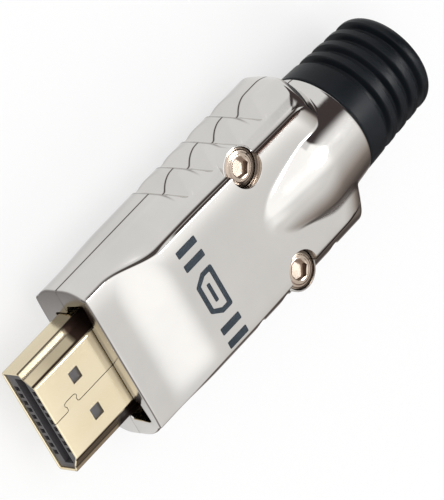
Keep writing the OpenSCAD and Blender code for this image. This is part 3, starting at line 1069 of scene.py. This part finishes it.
    def inside(self) -> bpy.types.Object:
        """Build the hollow inside the housing: opening, skirt pocket, chamber, neck and collar.

        The opening's edge is rounded: as y goes in by the edge's radius less its cosine, the
        outline shrinks by its sine.

        Returns:
            The cutter.
        """
        turn = np.linspace(0.0, QUARTER_TURN, 5)
        y = np.concatenate([[-1.0], self.opening_edge * (1.0 - np.cos(turn)), [3.0]])
        grow = np.concatenate([[self.opening_edge], self.opening_edge * (1.0 - np.sin(turn)), [0.0]])
        rings = np.insert(np.stack([self.opening(g) for g in grow]), 1, y[:, None], axis=2)
        hollow = Mesh.loft("hollow", rings)
        box = rounded_box(*self.pocket_half, self.pocket_corner)
        pocket = Mesh.along("pocket", box, *self.pocket_y, Axis.PLUG)
        box = rounded_box(*self.chamber_half, self.chamber_corner)
        chamber = Mesh.along("chamber", box, *self.chamber_y, Axis.PLUG)
        neck = Mesh.turned("neck", self.neck, Axis.PLUG)
        return Mesh.combine(hollow, [pocket, chamber, neck], "UNION")

    def upright(self, name: str, profile: Iterable, side: float) -> bpy.types.Object:
        """Turn a profile around one screw's axis."""
        return Mesh.turned(name, profile, Axis.UPRIGHT, at=(side * self.screws.x, self.screws.y))

    def screw_hole(self, side: float, half: Half) -> bpy.types.Object:
        """Build the counterbore and the hole for a screw, or the tapped hole below it.

        Args:
            side: 1 for the right and -1 for the left.
            half: The half that the hole is for.

        Returns:
            The cutter.
        """
        if half is Half.BOTTOM:
            reach, low, high = self.tapped_hole, self.tapped_end, 1
            return self.upright("hole", [(0, low), (reach, low), (reach, high), (0, high)], side)
        low, high, seat, hole = -1, 9, self.screws.seat, self.clearance_hole
        round_over, mouth = self.bore_edge, self.bore + self.bore_edge
        edge = quarter_arc((mouth, self.plate_height - round_over), (-round_over, round_over))
        wall = [(self.bore, height) for height in (seat, *self.bore_shade_rows)]
        profile = [(0, low), (hole, low), (hole, seat), *wall, *map(tuple, edge), (mouth, high), (0, high)]
        return self.upright("hole", profile, side)

    def boss(self, side: float) -> bpy.types.Object:
        """Build the low round wall that closes a counterbore on the side where the plate ends.

        Args:
            side: 1 for the right and -1 for the left.

        Returns:
            The new object.
        """
        middle = (self.boss_radius - self.boss_edge, self.boss_height - self.boss_edge)
        edge = quarter_arc(middle, (self.boss_edge, self.boss_edge))
        seat = self.screws.seat
        profile = [(0, seat), (self.boss_foot, seat), *map(tuple, edge), (0, self.boss_height)]
        return self.upright("boss", profile, side)

    def wall_shade_and_rim_reflection(self, x: Array, y: Array, z: Array) -> Array:
        """Paint shade on the wall beside the plate, and a dark reflection on the plate's outer rim.

        The wall is dark within 0.02 mm of the plate's side, all the way up on the ramp and up to
        half its height behind it. The rim is a stripe just inside the plate's side, from behind
        the ramp back, which widens from 0.08 to 0.4 mm behind the screws.

        Args:
            x: Places across the plug, as distances from its middle.
            y: Places along it.
            z: Heights, as distances from the axis.

        Returns:
            How dark each place is.
        """
        w = self.plate_width(y)
        foot, top = self.section_height(w, y), self.ramp_height(y, w)
        share = (z - foot) / np.maximum(top - foot, 0.2)
        reach = 1.2 - 0.67 * smooth_step(y, 8.0, 12.0)
        wall = fall(np.abs(x - w), 0.02, 0.14) * fall(share, reach - 0.12, reach + 0.12)
        wall *= (0.85 + 0.15 * smooth_step(y, 3.5, 6.0)) * smooth_step(y, 0.1, 0.5)
        wide = 0.08 + 0.32 * smooth_step(y, 26.0, 28.0)
        rim = smooth_step(y, 12.0, 13.5) * smooth_step(z - top, -0.36, -0.26)
        rim *= fall(np.abs(w - x - wide / 2), wide / 2, wide / 2 + 0.06)
        return np.maximum(wall, rim) * fall(y, 35.6, 36.2)

    def valley_painted_reflection(self, x: Array, y: Array, z: Array, right: Array) -> Array:
        """Paint a dark reflection into the valley where the right of the dome runs into the plate's rear
        end.

        It is dark where the dome's radius and the rest of the form lie about as far out, and it
        widens towards the rear.

        Args:
            x: Places across the plug, as distances from its middle.
            y: Places along it.
            z: Heights, as distances from the axis.
            right: Whether each place is on the right.

        Returns:
            How dark each place is.
        """
        beyond = np.hypot(x, z) - self.dome(y) - self.body(x, y, z)
        reach = 0.1 + 0.45 * smooth_step(y, 28.0, 33.0)
        valley = smooth_step(beyond, -0.12 - 0.25 * reach, 0.0) * fall(beyond / reach, 0.45, 1.0)
        return 0.85 * valley * right * smooth_step(y, 26.5, 29.0) * (z > 4.5)

    def crest_painted_shade(self, x: Array, y: Array, z: Array) -> Array:
        """Paint a fine line of shade on each grip's crest, which fades towards the plate.

        Args:
            x: Places across the plug, as distances from its middle.
            y: Places along it.
            z: Heights, as distances from the axis.

        Returns:
            How dark each place is.
        """
        crests = self.first_crest + self.grip_pitch * np.arange(self.grips)
        away = np.min(np.abs(y[:, None] - crests), axis=1)
        return 0.7 * fall(away, 0.04, 0.16) * fall(z, 2.4, 4.2) * (x > 8.6)

    def painted_shade(self, piece: bpy.types.Object) -> None:
        """Write how much painted shade and dark painted reflection each point gets.

        A point takes the darkest of these: the parting line, the wall beside the plate, the
        counterbores' lower walls, the valley beside the dome, the front face, the front edge of
        the ramp, and the grips' crests. On the front face the shade changes evenly with x, so
        that its long triangles don't show.

        Args:
            piece: One half of the housing.
        """
        side, y, height = Mesh.places(piece)
        x, z = np.abs(side), np.abs(height)
        # Painted shade in the parting groove and the bores, on the front face (darker left) and the ramp's
        # front edge
        parting = 0.9 * fall(z, 0.08, 0.15) * smooth_step(y, 0.05, 0.2)
        in_bore = np.abs(np.hypot(x - self.screws.x, y - self.screws.y) - self.bore) < 0.02
        bore = 0.65 * in_bore * (height > 0.0) * fall(z, 5.5, 6.1)
        front = (0.38 - 0.037 * side) * fall(y, 0.05, 0.3)
        edge = 0.85 * fall(np.abs(y - 0.09), 0.04, 0.1) * (z > 3.6) * (z < 4.36)
        wall, valley = self.wall_shade_and_rim_reflection(x, y, z), self.valley_painted_reflection(x, y, z, side > 0.0)
        values = np.max([parting, wall, bore, valley, front, edge, self.crest_painted_shade(x, y, z)], axis=0)
        Mesh.write_painted_shade(piece, values, "POINT")

    def build(self) -> None:
        """Build both halves, hollow and with the holes for the screws."""
        for half in Half:
            holes = [self.screw_hole(side, half) for side in SIDES]
            bosses = [self.boss(side) for side in SIDES if half is Half.TOP]
            piece = Mesh.combine(self.skin(half), bosses, "UNION")
            piece = Mesh.combine(piece, [self.inside(), *holes], "DIFFERENCE")
            self.painted_shade(piece)
            fitted(piece, POLISHED_CASTING, "polished_metal", f"housing_{half.name.lower()}")


@dataclass
class Mark:
    """A plain mark in paint on the plate: a plug's face between bars."""

    housing: Housing
    low: float = 11.7
    high: float = 14.9
    stroke: float = 0.9
    line: float = 0.62
    lift: float = 0.03
    sink: float = 0.05
    bars: tuple[float, ...] = (-6.3, -4.4, 4.5, 6.4)
    face_left: float = -2.3
    face_width: float = 5.6
    face_chin: Pair = (1.0, 1.5)  # inwards and up
    chin_inset: Pair = (0.25, 0.2)
    slot_inset: float = 1.6
    slot: Pair = (1.35, 1.85)

    def block(self, name: str, corners: Iterable, radius: float = 0.12) -> bpy.types.Object:
        """Build one painted shape from its corners."""
        outline, z = rounded(corners, radius, 4), self.housing.plate_height
        return Mesh.along(name, outline, z - self.sink, z + self.lift, Axis.UPRIGHT)

    def rectangle(self, name: str, x: Pair, y: Pair) -> bpy.types.Object:
        """Build one painted rectangle between two places across and two along the plug."""
        (a, b), (low, high) = x, y
        return self.block(name, [(a, low), (b, low), (b, high), (a, high)])

    def face_outline(self, inset: float, chin_x: float, chin_y: float) -> list[Pair]:
        """Corners of the plug's face: wide at its top, and narrower below its chin's height.

        Args:
            inset: How far its sides lie inside the face's own.
            chin_x: How far its lower corners lie inside the face's sides.
            chin_y: Where its sides begin to slope, along the plug.

        Returns:
            The six corners.
        """
        left, right = self.face_left, self.face_left + self.face_width
        low, high = self.low + inset, self.high - inset
        return [
            (left + inset, high), (left + inset, chin_y), (left + chin_x, low),
            (right - chin_x, low), (right - inset, chin_y), (right - inset, high),
        ]

    def face(self) -> bpy.types.Object:
        """Build the outline of a plug's face, wide at its top, with its slot.

        Returns:
            The new object.
        """
        chin_x, chin_y = self.face_chin[0], self.low + self.face_chin[1]
        ring = self.block("face_mark", self.face_outline(0.0, chin_x, chin_y), 0.3)
        chin_x, chin_y = chin_x + self.chin_inset[0], chin_y + self.chin_inset[1]
        inner = rounded(self.face_outline(self.line, chin_x, chin_y), 0.15, 4)
        z = self.housing.plate_height
        ring = Mesh.combine(ring, [Mesh.along("hole", inner, z - 1, z + 1, Axis.UPRIGHT)], "DIFFERENCE")
        across = (self.face_left + self.slot_inset, self.face_left + self.face_width - self.slot_inset)
        along = (self.low + self.slot[0], self.low + self.slot[1])
        return Mesh.combine(ring, [self.rectangle("slot", across, along)], "UNION")

    def build(self) -> None:
        """Build the mark as one piece, lowered towards the sides as the plate is."""
        mark, along = self.face(), (self.low, self.high)
        bars = [self.rectangle("face_mark", (x, x + self.stroke), along) for x in self.bars]
        mark = Mesh.combine(mark, bars, "UNION")
        x, y, z = Mesh.places(mark)
        z = z - self.housing.crown * (x / self.housing.plate) ** 6
        mark.data.vertices.foreach_set("co", to_part(np.stack([x, y, z], axis=1)).ravel())
        fitted(mark, MARK_PAINT, "")


@dataclass
class PlugShell:
    """The stamped gilt shell: one sheet bent to a tube, with its seam, windows and skirt."""

    width: float = 13.9
    bottom: float = -2.025
    top: float = 2.425
    side: float = 3.05
    ledge: Pair = (0.75, 0.35)  # inwards and up
    top_inset: float = 2.05
    bends: tuple[float, ...] = (0.5, 0.22, 0.3, 0.2)
    sheet: float = 0.3
    reach: float = 9.9
    rolled_edge: float = 0.12
    skirt_half: Pair = (7.8, 3.3)  # across and up
    skirt_bend: float = 0.5
    skirt_y: Pair = (2.6, 10.0)
    # Where rings of points lie for the shade to change over
    shade_rows: tuple[float, ...] = (-6.0, -3.2, -2.8, -2.4, -2.0, -1.0, -0.45, -0.2, 0.0)
    window: float = 1.5
    window_x: float = 2.56
    window_front: float = -5.4
    seam_line: Pairs = (
        (0, -7.85), (-0.12, -7.66), (-0.45, -7.62), (-0.72, -7.83), (-0.95, -7.72),
        (-1.03, -7.45), (-1.03, -6.2), (-0.95, -5.92), (-0.72, -5.8), (-0.45, -6.02), (-0.12, -5.98),
        (0, -5.8), (0, 2.4),
    )
    seam_half_width: float = 0.045
    # Place across, height and darkness of each dark line, a painted reflection along the ledges
    dark_lines: tuple[Triple, ...] = ((6.93, 0.87, 0.9), (6.25, 1.36, 0.85), (5.19, 2.19, 1.0))

    def outline(self, inset: float) -> Array:
        """Outline of the bent sheet seen from the front, its outside or a line inside it.

        Args:
            inset: How far inside the sheet's outside.

        Returns:
            The outline's points, two numbers each.
        """
        half, up = self.width / 2, self.bottom + self.side
        ledge = (half - self.ledge[0], up + self.ledge[1])
        side = [(half, self.bottom), (half, up), ledge, (half - self.top_inset, self.top)]
        return self.spaced(grown(rounded(mirrored(side), self.bends + self.bends[::-1], 8), -inset))

    def skirt(self, inset: float) -> Array:
        """Outline of the box shaped skirt inside the housing, with as many points.

        Corners in the middle of its sides and near its upper corners keep its points in step with
        the sheet's outline. They are nudged off the line, so that each can be rounded.

        Args:
            inset: How far inside the skirt's outside.

        Returns:
            The outline's points, two numbers each.
        """
        half, up = (size - inset for size in self.skirt_half)
        bend, flat, nudge = self.skirt_bend - inset, 0.05, 0.002
        side = [(half, -up), (half + nudge, 0.0), (half, up), (half - 2.0, up + nudge)]
        radii = [bend, flat, bend, flat]
        return self.spaced(rounded(mirrored(side), radii + radii[::-1], 8))

    @staticmethod
    def spaced(outline: Array, count: int = 480) -> Array:
        """Set evenly spaced points along a closed outline.

        Args:
            outline: The outline's points, two numbers each.
            count: How many points it gets.

        Returns:
            The new points.
        """
        closed = np.vstack([outline, outline[:1]])
        along = np.concatenate([[0.0], np.cumsum(np.linalg.norm(np.diff(closed, axis=0), axis=1))])
        place = np.arange(count) * along[-1] / count
        return np.stack([np.interp(place, along, closed[:, k]) for k in (0, 1)], axis=1)

    def rolled_front(self) -> list[Pair]:
        """Places along y, each with its inset, from the sheet's inside over its rounded front edge.

        The edge is two quarter circles: y is the front plus the radius less its sine, and the
        inset grows by the radius less its cosine, from the outside and then from the inside.

        Returns:
            Pairs of y and inset, from the inside to the outside.
        """
        r = self.rolled_edge
        turn = np.linspace(0.0, np.pi, 9)
        y = -self.reach + r * (1.0 - np.sin(turn))
        outer, inner = r * (1.0 - np.cos(turn)), self.sheet - r * (1.0 + np.cos(turn))
        inset = np.where(turn < QUARTER_TURN, outer, inner)
        return list(zip(y[::-1], inset[::-1]))

    def tube(self) -> bpy.types.Object:
        """Carry the outline along the shell's outside, round its rear, and back along its inside.

        Returns:
            The new object.
        """
        t, (start, end) = self.sheet, self.skirt_y
        rows = [(y, self.outline(inset)) for y, inset in self.rolled_front()]
        rows += [(y, self.outline(0.0)) for y in (*self.shade_rows, start)]
        rows += [(start, self.skirt(0.0)), (end, self.skirt(0.0)), (end, self.skirt(t))]
        rows += [(start + t, self.skirt(t)), (start + t, self.outline(t))]
        rings = np.stack([np.insert(line, 1, y, axis=1) for y, line in rows])
        return Mesh.loft("gilt_shell", rings, ring_rows=True)

    def windows(self) -> list[bpy.types.Object]:
        """Build the cutters for the two windows in each wide face.

        Returns:
            The two cutters.
        """
        cuts = []
        low, high = self.window_front, self.window_front + self.window
        for side in SIDES:
            a, b = (side * self.window_x + s * self.window / 2 for s in SIDES)
            outline = rounded([(a, low), (b, low), (b, high), (a, high)], 0.1, 4)
            cuts.append(Mesh.along("window", outline, -4.0, 4.0, Axis.UPRIGHT))
        return cuts

    def seam(self) -> bpy.types.Object:
        """Build the cutter for the seam: a line along the middle with a dovetail to one side.

        The line's points move to both sides along its normal by half the seam's width.

        Returns:
            The cutter.
        """
        line = np.array([(0, -self.reach - 1), *self.seam_line])
        ahead = np.gradient(line, axis=0)
        ahead /= np.linalg.norm(ahead, axis=1, keepdims=True)
        normal = np.stack([ahead[:, 1], -ahead[:, 0]], axis=1) * self.seam_half_width
        outline = np.vstack([line + normal, (line - normal)[::-1]])
        return Mesh.along("seam", outline, 1.6, 3.4, Axis.UPRIGHT)

    def painted_shade(self, piece: bpy.types.Object) -> None:
        """Write painted reflections as dark lines along both ledges, and painted shade in their corner at
        the housing.

        A line is darkest within a tenth of a millimetre of its middle, seen from the front, and
        fades over 0.14 mm. The left slope, the lower flanks and the wide face at the housing
        have a lighter shade.

        Args:
            piece: The shell.
        """
        x, y, z = Mesh.places(piece)
        left, x = x < 0.0, np.abs(x)
        # Painted reflections on the ledges; painted shade in the corner, on the flanks, left slope and
        # face's foot
        lines = [dark * fall(np.hypot(x - a, z - b), 0.1, 0.24) for a, b, dark in self.dark_lines]
        corner = smooth_step(y, -3.0, -2.2) * smooth_step(z, 0.6, 0.8) * fall(z, 2.2, 2.35)
        flank = 0.12 * (x > 6.8) * fall(z, 0.4, 0.7)
        slope = 0.42 * left * smooth_step(x, 4.9, 5.1) * fall(x, 6.1, 6.25) * (z > 1.2)
        foot = 0.4 * (z > 2.3) * smooth_step(y, -0.45, -0.2)
        Mesh.write_painted_shade(piece, np.max([*lines, corner, flank, slope, foot], axis=0), "POINT")

    def build(self) -> None:
        """Build the shell with its windows and seam."""
        piece = Mesh.combine(self.tube(), [*self.windows(), self.seam()], "DIFFERENCE")
        self.painted_shade(piece)
        fitted(piece, GILT, "gold_plate", "plug_shell")


@dataclass
class Boot:
    """The moulded rubber strain relief with its ring grooves."""

    start: float = 40.75
    end: float = 53.3
    bore: float = 4.1
    bore_edge: float = 0.3
    root: float = 7.0
    tail: float = 6.3
    tail_round: float = 1.4
    grooves: tuple[float, ...] = (44.5, 46.65, 48.8, 50.95)
    groove_depth: float = 0.8
    groove_flat: float = 0.26
    groove_side: float = 0.46
    # Radius at each y from the bore's inner end over the flange to the boot's front
    neck: Pairs = (
        (4.6, 35.7), (4.6, 36.75), (6.15, 36.75), (6.25, 36.85), (6.25, 38.6),
        (6.15, 38.7), (5.6, 38.7), (5.6, 40.75), (6.8, 40.75), (6.95, 40.85),
    )

    def outside(self) -> Array:
        """Radius and y along the outside: a cone, less a rounded dip at each groove.

        A dip is full within the groove's flat and rises over its side by a smooth step, and the
        rear end is a quarter circle.

        Returns:
            Rows of radius and y.
        """
        rear = self.end - self.tail_round
        y = np.linspace(self.start + 0.2, rear, 240)
        radius = self.root + (self.tail - self.root) * (y - self.start) / (self.end - self.start)
        for middle in self.grooves:
            dip = fall(np.abs(y - middle), self.groove_flat, self.groove_flat + self.groove_side)
            radius = radius - self.groove_depth * dip
        r = self.tail_round
        end = quarter_arc((radius[-1] - r, rear), (r, r), 13)
        return np.vstack([np.stack([radius, y], axis=1), end[1:]])

    def build(self) -> None:
        """Turn the boot's closed profile around the plug's axis."""
        r = self.bore_edge
        mouth = quarter_arc((self.bore + r, self.end - r), (-r, r))[::-1]
        bore_end = [(self.bore, self.neck[0][1])]
        profile = np.vstack([self.outside(), mouth, bore_end, self.neck])
        piece = Mesh.turned("strain_relief", profile, Axis.PLUG, 160, ring=True)
        fitted(piece, BLACK_RUBBER, "black_rubber", "boot")


@dataclass(frozen=True)
class CarriedOver:
    """The pieces whose own shape stays, with the finish that each gets."""

    finishes: tuple[tuple[str, Finish], ...] = (
        ("insulator", DARK_MOULDING),
        ("wire_holder", PALE_MOULDING),
        ("shield_cover", TINNED_SHEET),
        ("contact_", GILT),
    )

    def dress(self) -> None:
        """Dress every node whose name starts as one of the finishes says."""
        for name in sorted(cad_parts):
            for start, finish in self.finishes:
                if name.startswith(start):
                    finish.dress(bpy.data.objects[name])
                    LOG.info("%s: %s", name, finish.name)


@dataclass(frozen=True)
class Studio:
    """The floor, the light and the camera.

    The studio's walls are seen in reflections alone, and each is given by the direction that it
    lies in: the part's x, y and z of a line of length 1.
    """

    right: Triple = (0.449, 0.603, 0.660)
    up: Triple = (-0.768, 0.638, -0.061)
    towards: Triple = (-0.458, -0.480, 0.750)
    aim: Triple = (-1.1, 18.4, 4.35)
    distance: float = 700.0
    pixels_per_mm: float = 9.14
    sensor: float = 36.0
    hot_core: Triple = (0.0, 0.49, 0.872)
    dark_side: Triple = (0.85, 0.53, 0.0)
    # Colour of the dark side at each height, from -1 straight down to 1 straight up
    dark_wall: tuple[tuple[float, Triple], ...] = (
        (-1.0, (0.92, 0.91, 0.90)), (-0.76, (0.80, 0.78, 0.77)), (-0.69, (0.68, 0.66, 0.64)),
        (-0.60, (0.42, 0.39, 0.37)), (-0.51, (0.20, 0.175, 0.165)), (-0.40, (0.085, 0.07, 0.065)),
        (-0.20, (0.115, 0.095, 0.085)), (-0.06, (0.18, 0.15, 0.135)), (0.06, (0.235, 0.20, 0.18)),
        (0.17, (0.29, 0.25, 0.225)), (0.28, (0.43, 0.38, 0.35)), (0.38, (0.55, 0.51, 0.48)),
        (0.48, (0.68, 0.65, 0.63)), (0.56, (0.79, 0.77, 0.75)), (0.66, (0.95, 0.94, 0.93)),
        (1.0, (1.0, 1.0, 1.0)),
    )
    card_colour: Triple = (0.065, 0.052, 0.052)
    floor_half: float = 0.1
    floor_fade: Pair = (0.055, 0.085)

    @staticmethod
    def put(item: bpy.types.Object, *columns: Array) -> None:
        """Link an object to the scene, with its x, y and z axes and its place as given.

        Args:
            item: The object.
            columns: The three axes and the place, three numbers each.
        """
        matrix = np.eye(4)
        matrix[:3] = np.stack(columns, axis=1)
        item.matrix_world = Matrix(matrix.tolist())
        bpy.context.collection.objects.link(item)

    def camera(self) -> None:
        """Place the camera along its own axes, with the lens that gives the picture's scale.

        The three directions are made exactly square to each other first. The lens is the sensor's
        height times the distance over the height that the picture shows.
        """
        data = bpy.data.cameras.new("camera")
        data.sensor_fit = "VERTICAL"
        data.sensor_height = self.sensor
        data.lens = self.sensor * self.distance / (PICTURE_HEIGHT / self.pixels_per_mm)
        data.clip_end = 10.0
        camera = bpy.data.objects.new("camera", data)
        given = np.array([self.towards, self.up, self.right]).T
        axes = np.linalg.qr(given)[0]
        towards, up, right = (axes * np.sign(np.sum(axes * given, axis=0))).T
        self.put(camera, right, up, towards, to_part(np.array(self.aim) + self.distance * towards))
        bpy.context.scene.camera = camera

    def floor(self) -> None:
        """Lay the pale floor just under the plug; it fades into the white around it."""
        mesh = bpy.data.meshes.new("floor")
        corners = self.floor_half * np.array([(-1, -1, 0), (1, -1, 0), (1, 1, 0), (-1, 1, 0)])
        mesh.from_pydata(corners.tolist(), [], [(0, 1, 2, 3)])
        floor = bpy.data.objects.new("floor", mesh)
        bpy.context.collection.objects.link(floor)
        material = bpy.data.materials.new("pale_floor")
        shader = Shader(material)
        surface = shader.tree.nodes["Principled BSDF"]
        surface.inputs["Base Color"].default_value = (0.9, 0.9, 0.9, 1.0)
        surface.inputs["Roughness"].default_value = 0.9
        surface.inputs["Specular IOR Level"].default_value = 0.1
        white = shader.add("ShaderNodeEmission").outputs[0]
        seen = shader.math("MULTIPLY", shader.add("ShaderNodeLightPath").outputs["Is Camera Ray"], 0.65)
        lit = shader.add("ShaderNodeMixShader", {0: seen, 1: surface.outputs[0], 2: white}).outputs[0]
        place = shader.add("ShaderNodeTexCoord").outputs["Object"]
        away = shader.add("ShaderNodeVectorMath", {0: place}, operation="LENGTH").outputs[1]
        clear = shader.add("ShaderNodeBsdfTransparent").outputs[0]
        inputs = {0: shader.rise(away, *self.floor_fade), 1: lit, 2: clear}
        faded = shader.add("ShaderNodeMixShader", inputs).outputs[0]
        shader.feed(shader.tree.nodes["Material Output"].inputs["Surface"], faded)
        mesh.materials.append(material)
        floor.visible_glossy = False

    @staticmethod
    def facing(shader: Shader, way: bpy.types.NodeSocket, aim: Triple) -> bpy.types.NodeSocket:
        """Measure how far a direction points along another one, as their dot product."""
        inputs = {0: way, 1: aim}
        return shader.add("ShaderNodeVectorMath", inputs, operation="DOT_PRODUCT").outputs[1]

    def brightness(self, shader: Shader, way: bpy.types.NodeSocket, axes: Any) -> bpy.types.NodeSocket:
        """Brightness of the room: pale walls, a brighter soft box above, and its hot core.

        Args:
            shader: The world's shader.
            way: The direction that is looked in.
            axes: Its x, y and z.

        Returns:
            The brightness in that direction.
        """
        x, y, z = axes[0], axes[1], axes[2]
        before = shader.math("MAXIMUM", shader.math("SUBTRACT", 0.40, y), 0.0)
        slant = shader.math("MULTIPLY_ADD", before, 8.0, x)
        box = shader.product(
            shader.rise(x, 0.46, 0.22), shader.rise(y, 0.74, 0.56), shader.rise(slant, -0.40, -0.33)
        )
        front = shader.product(shader.rise(y, 0.50, -0.20), shader.rise(x, 0.64, 0.48))
        box = shader.product(shader.math("MAXIMUM", box, front), shader.rise(z, 0.25, 0.5))
        sky = shader.math("MULTIPLY_ADD", box, 0.5, 0.92)
        core = shader.rise(self.facing(shader, way, self.hot_core), 0.98, 0.995)
        return shader.math("MULTIPLY_ADD", core, 20.0, sky)

    def walls(self, shader: Shader, way: bpy.types.NodeSocket, height: Any) -> bpy.types.NodeSocket:
        """Colour of the walls: white, a little darker below, and dark brown on the dark side.

        Args:
            shader: The world's shader.
            way: The direction that is looked in.
            height: Its z.

        Returns:
            The colour in that direction.
        """
        ramp = shader.add("ShaderNodeValToRGB", {0: shader.math("MULTIPLY_ADD", height, 0.5, 0.5)})
        stops = ramp.color_ramp.elements
        for number, (place, colour) in enumerate(self.dark_wall):
            share = (place + 1.0) / 2.0
            stop = stops.new(share) if number else stops[0]
            stop.position = share
            stop.color = (*colour, 1.0)
        # The stop that a new ramp ends with isn't one of these
        stops.remove(stops[len(stops) - 1])
        side = shader.rise(self.facing(shader, way, self.dark_side), 0.40, 0.66)
        white = shader.math("MULTIPLY_ADD", shader.rise(height, -0.68, -0.95), -0.22, 1.0)
        return shader.mixed(side, white, ramp.outputs[0])

    @staticmethod
    def card(shader: Shader, axes: Any) -> bpy.types.NodeSocket:
        """Where the narrow black card stands: 1 on it and 0 beside it.

        It is the product of six soft edges, two of which lean.

        Args:
            shader: The world's shader.
            axes: The x, y and z of the direction that is looked in.

        Returns:
            How much of the card is seen.
        """
        x, y, z = axes[0], axes[1], axes[2]
        behind = shader.math("MAXIMUM", shader.math("SUBTRACT", y, 0.72), 0.0)
        leaning = shader.math("MULTIPLY_ADD", behind, -2.5, x)
        tip = shader.math("MULTIPLY_ADD", x, -0.43, y)
        return shader.product(
            shader.rise(tip, 0.66, 0.715), shader.rise(leaning, -0.10, -0.36), shader.rise(x, -0.70, -0.64),
            shader.rise(y, 0.497, 0.525), shader.rise(z, -0.02, 0.05), shader.rise(z, 0.82, 0.76),
        )

    def world(self) -> None:
        """Light the plug from all sides, white to the camera, and a studio in reflections.

        Reflections see a soft box above pale walls. One side of the room grows dark and brown
        towards the floor, and a narrow black card stands on the other side, behind the plug.
        """
        world = bpy.data.worlds.new("studio")
        bpy.context.scene.world = world
        shader = Shader(world)
        way = shader.add("ShaderNodeTexCoord").outputs["Generated"]
        axes = shader.add("ShaderNodeSeparateXYZ", {0: way}).outputs
        inputs = {0: self.walls(shader, way, axes[2]), 3: self.brightness(shader, way, axes)}
        room = shader.add("ShaderNodeVectorMath", inputs, operation="SCALE").outputs[0]
        room = shader.mixed(self.card(shader, axes), room, (*self.card_colour, 1.0))
        path = shader.add("ShaderNodeLightPath").outputs
        reflected = shader.math("MAXIMUM", path["Is Glossy Ray"], path["Is Transmission Ray"])
        seen = shader.math("MAXIMUM", path["Is Camera Ray"], reflected)
        background = shader.tree.nodes["Background"].inputs
        shader.feed(background["Color"], shader.mixed(reflected, (1.0, 1.0, 1.0, 1.0), room))
        shader.feed(background["Strength"], shader.math("MULTIPLY_ADD", seen, 0.3, 0.7))

    def lamp(self, name: str, place: Triple, size: float, power: float) -> None:
        """Hang one soft square lamp that looks at the plug.

        Args:
            name: The lamp's name.
            place: Where it hangs, in metres.
            size: Its side in metres.
            power: Its power in watts.
        """
        data = bpy.data.lights.new(name, "AREA")
        data.size = size
        data.energy = power
        lamp = bpy.data.objects.new(name, data)
        lamp.visible_glossy = False
        towards = np.array(place) / np.linalg.norm(place)
        side = np.cross((0.0, 1.0, 0.0), towards)
        side /= np.linalg.norm(side)
        self.put(lamp, side, np.cross(towards, side), towards, np.array(place))

    def build(self) -> None:
        """Set up the whole studio."""
        bpy.context.scene.view_settings.view_transform = "Standard"
        self.camera()
        self.floor()
        self.world()
        self.lamp("key_lamp", (-0.15, -0.2, 0.8), 0.7, 3.0)
        self.lamp("fill_lamp", (0.5, 0.3, 0.5), 0.4, 0.8)


def main() -> None:
    """Build the studio and the plug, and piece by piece."""
    logging.basicConfig(level=logging.INFO, format="%(message)s")
    Studio().build()
    CarriedOver().dress()
    screws = Screws()
    housing = Housing(screws)
    for maker in (housing, Mark(housing), screws, PlugShell(), Boot()):
        maker.build()


if __name__ == "__main__":
    main()
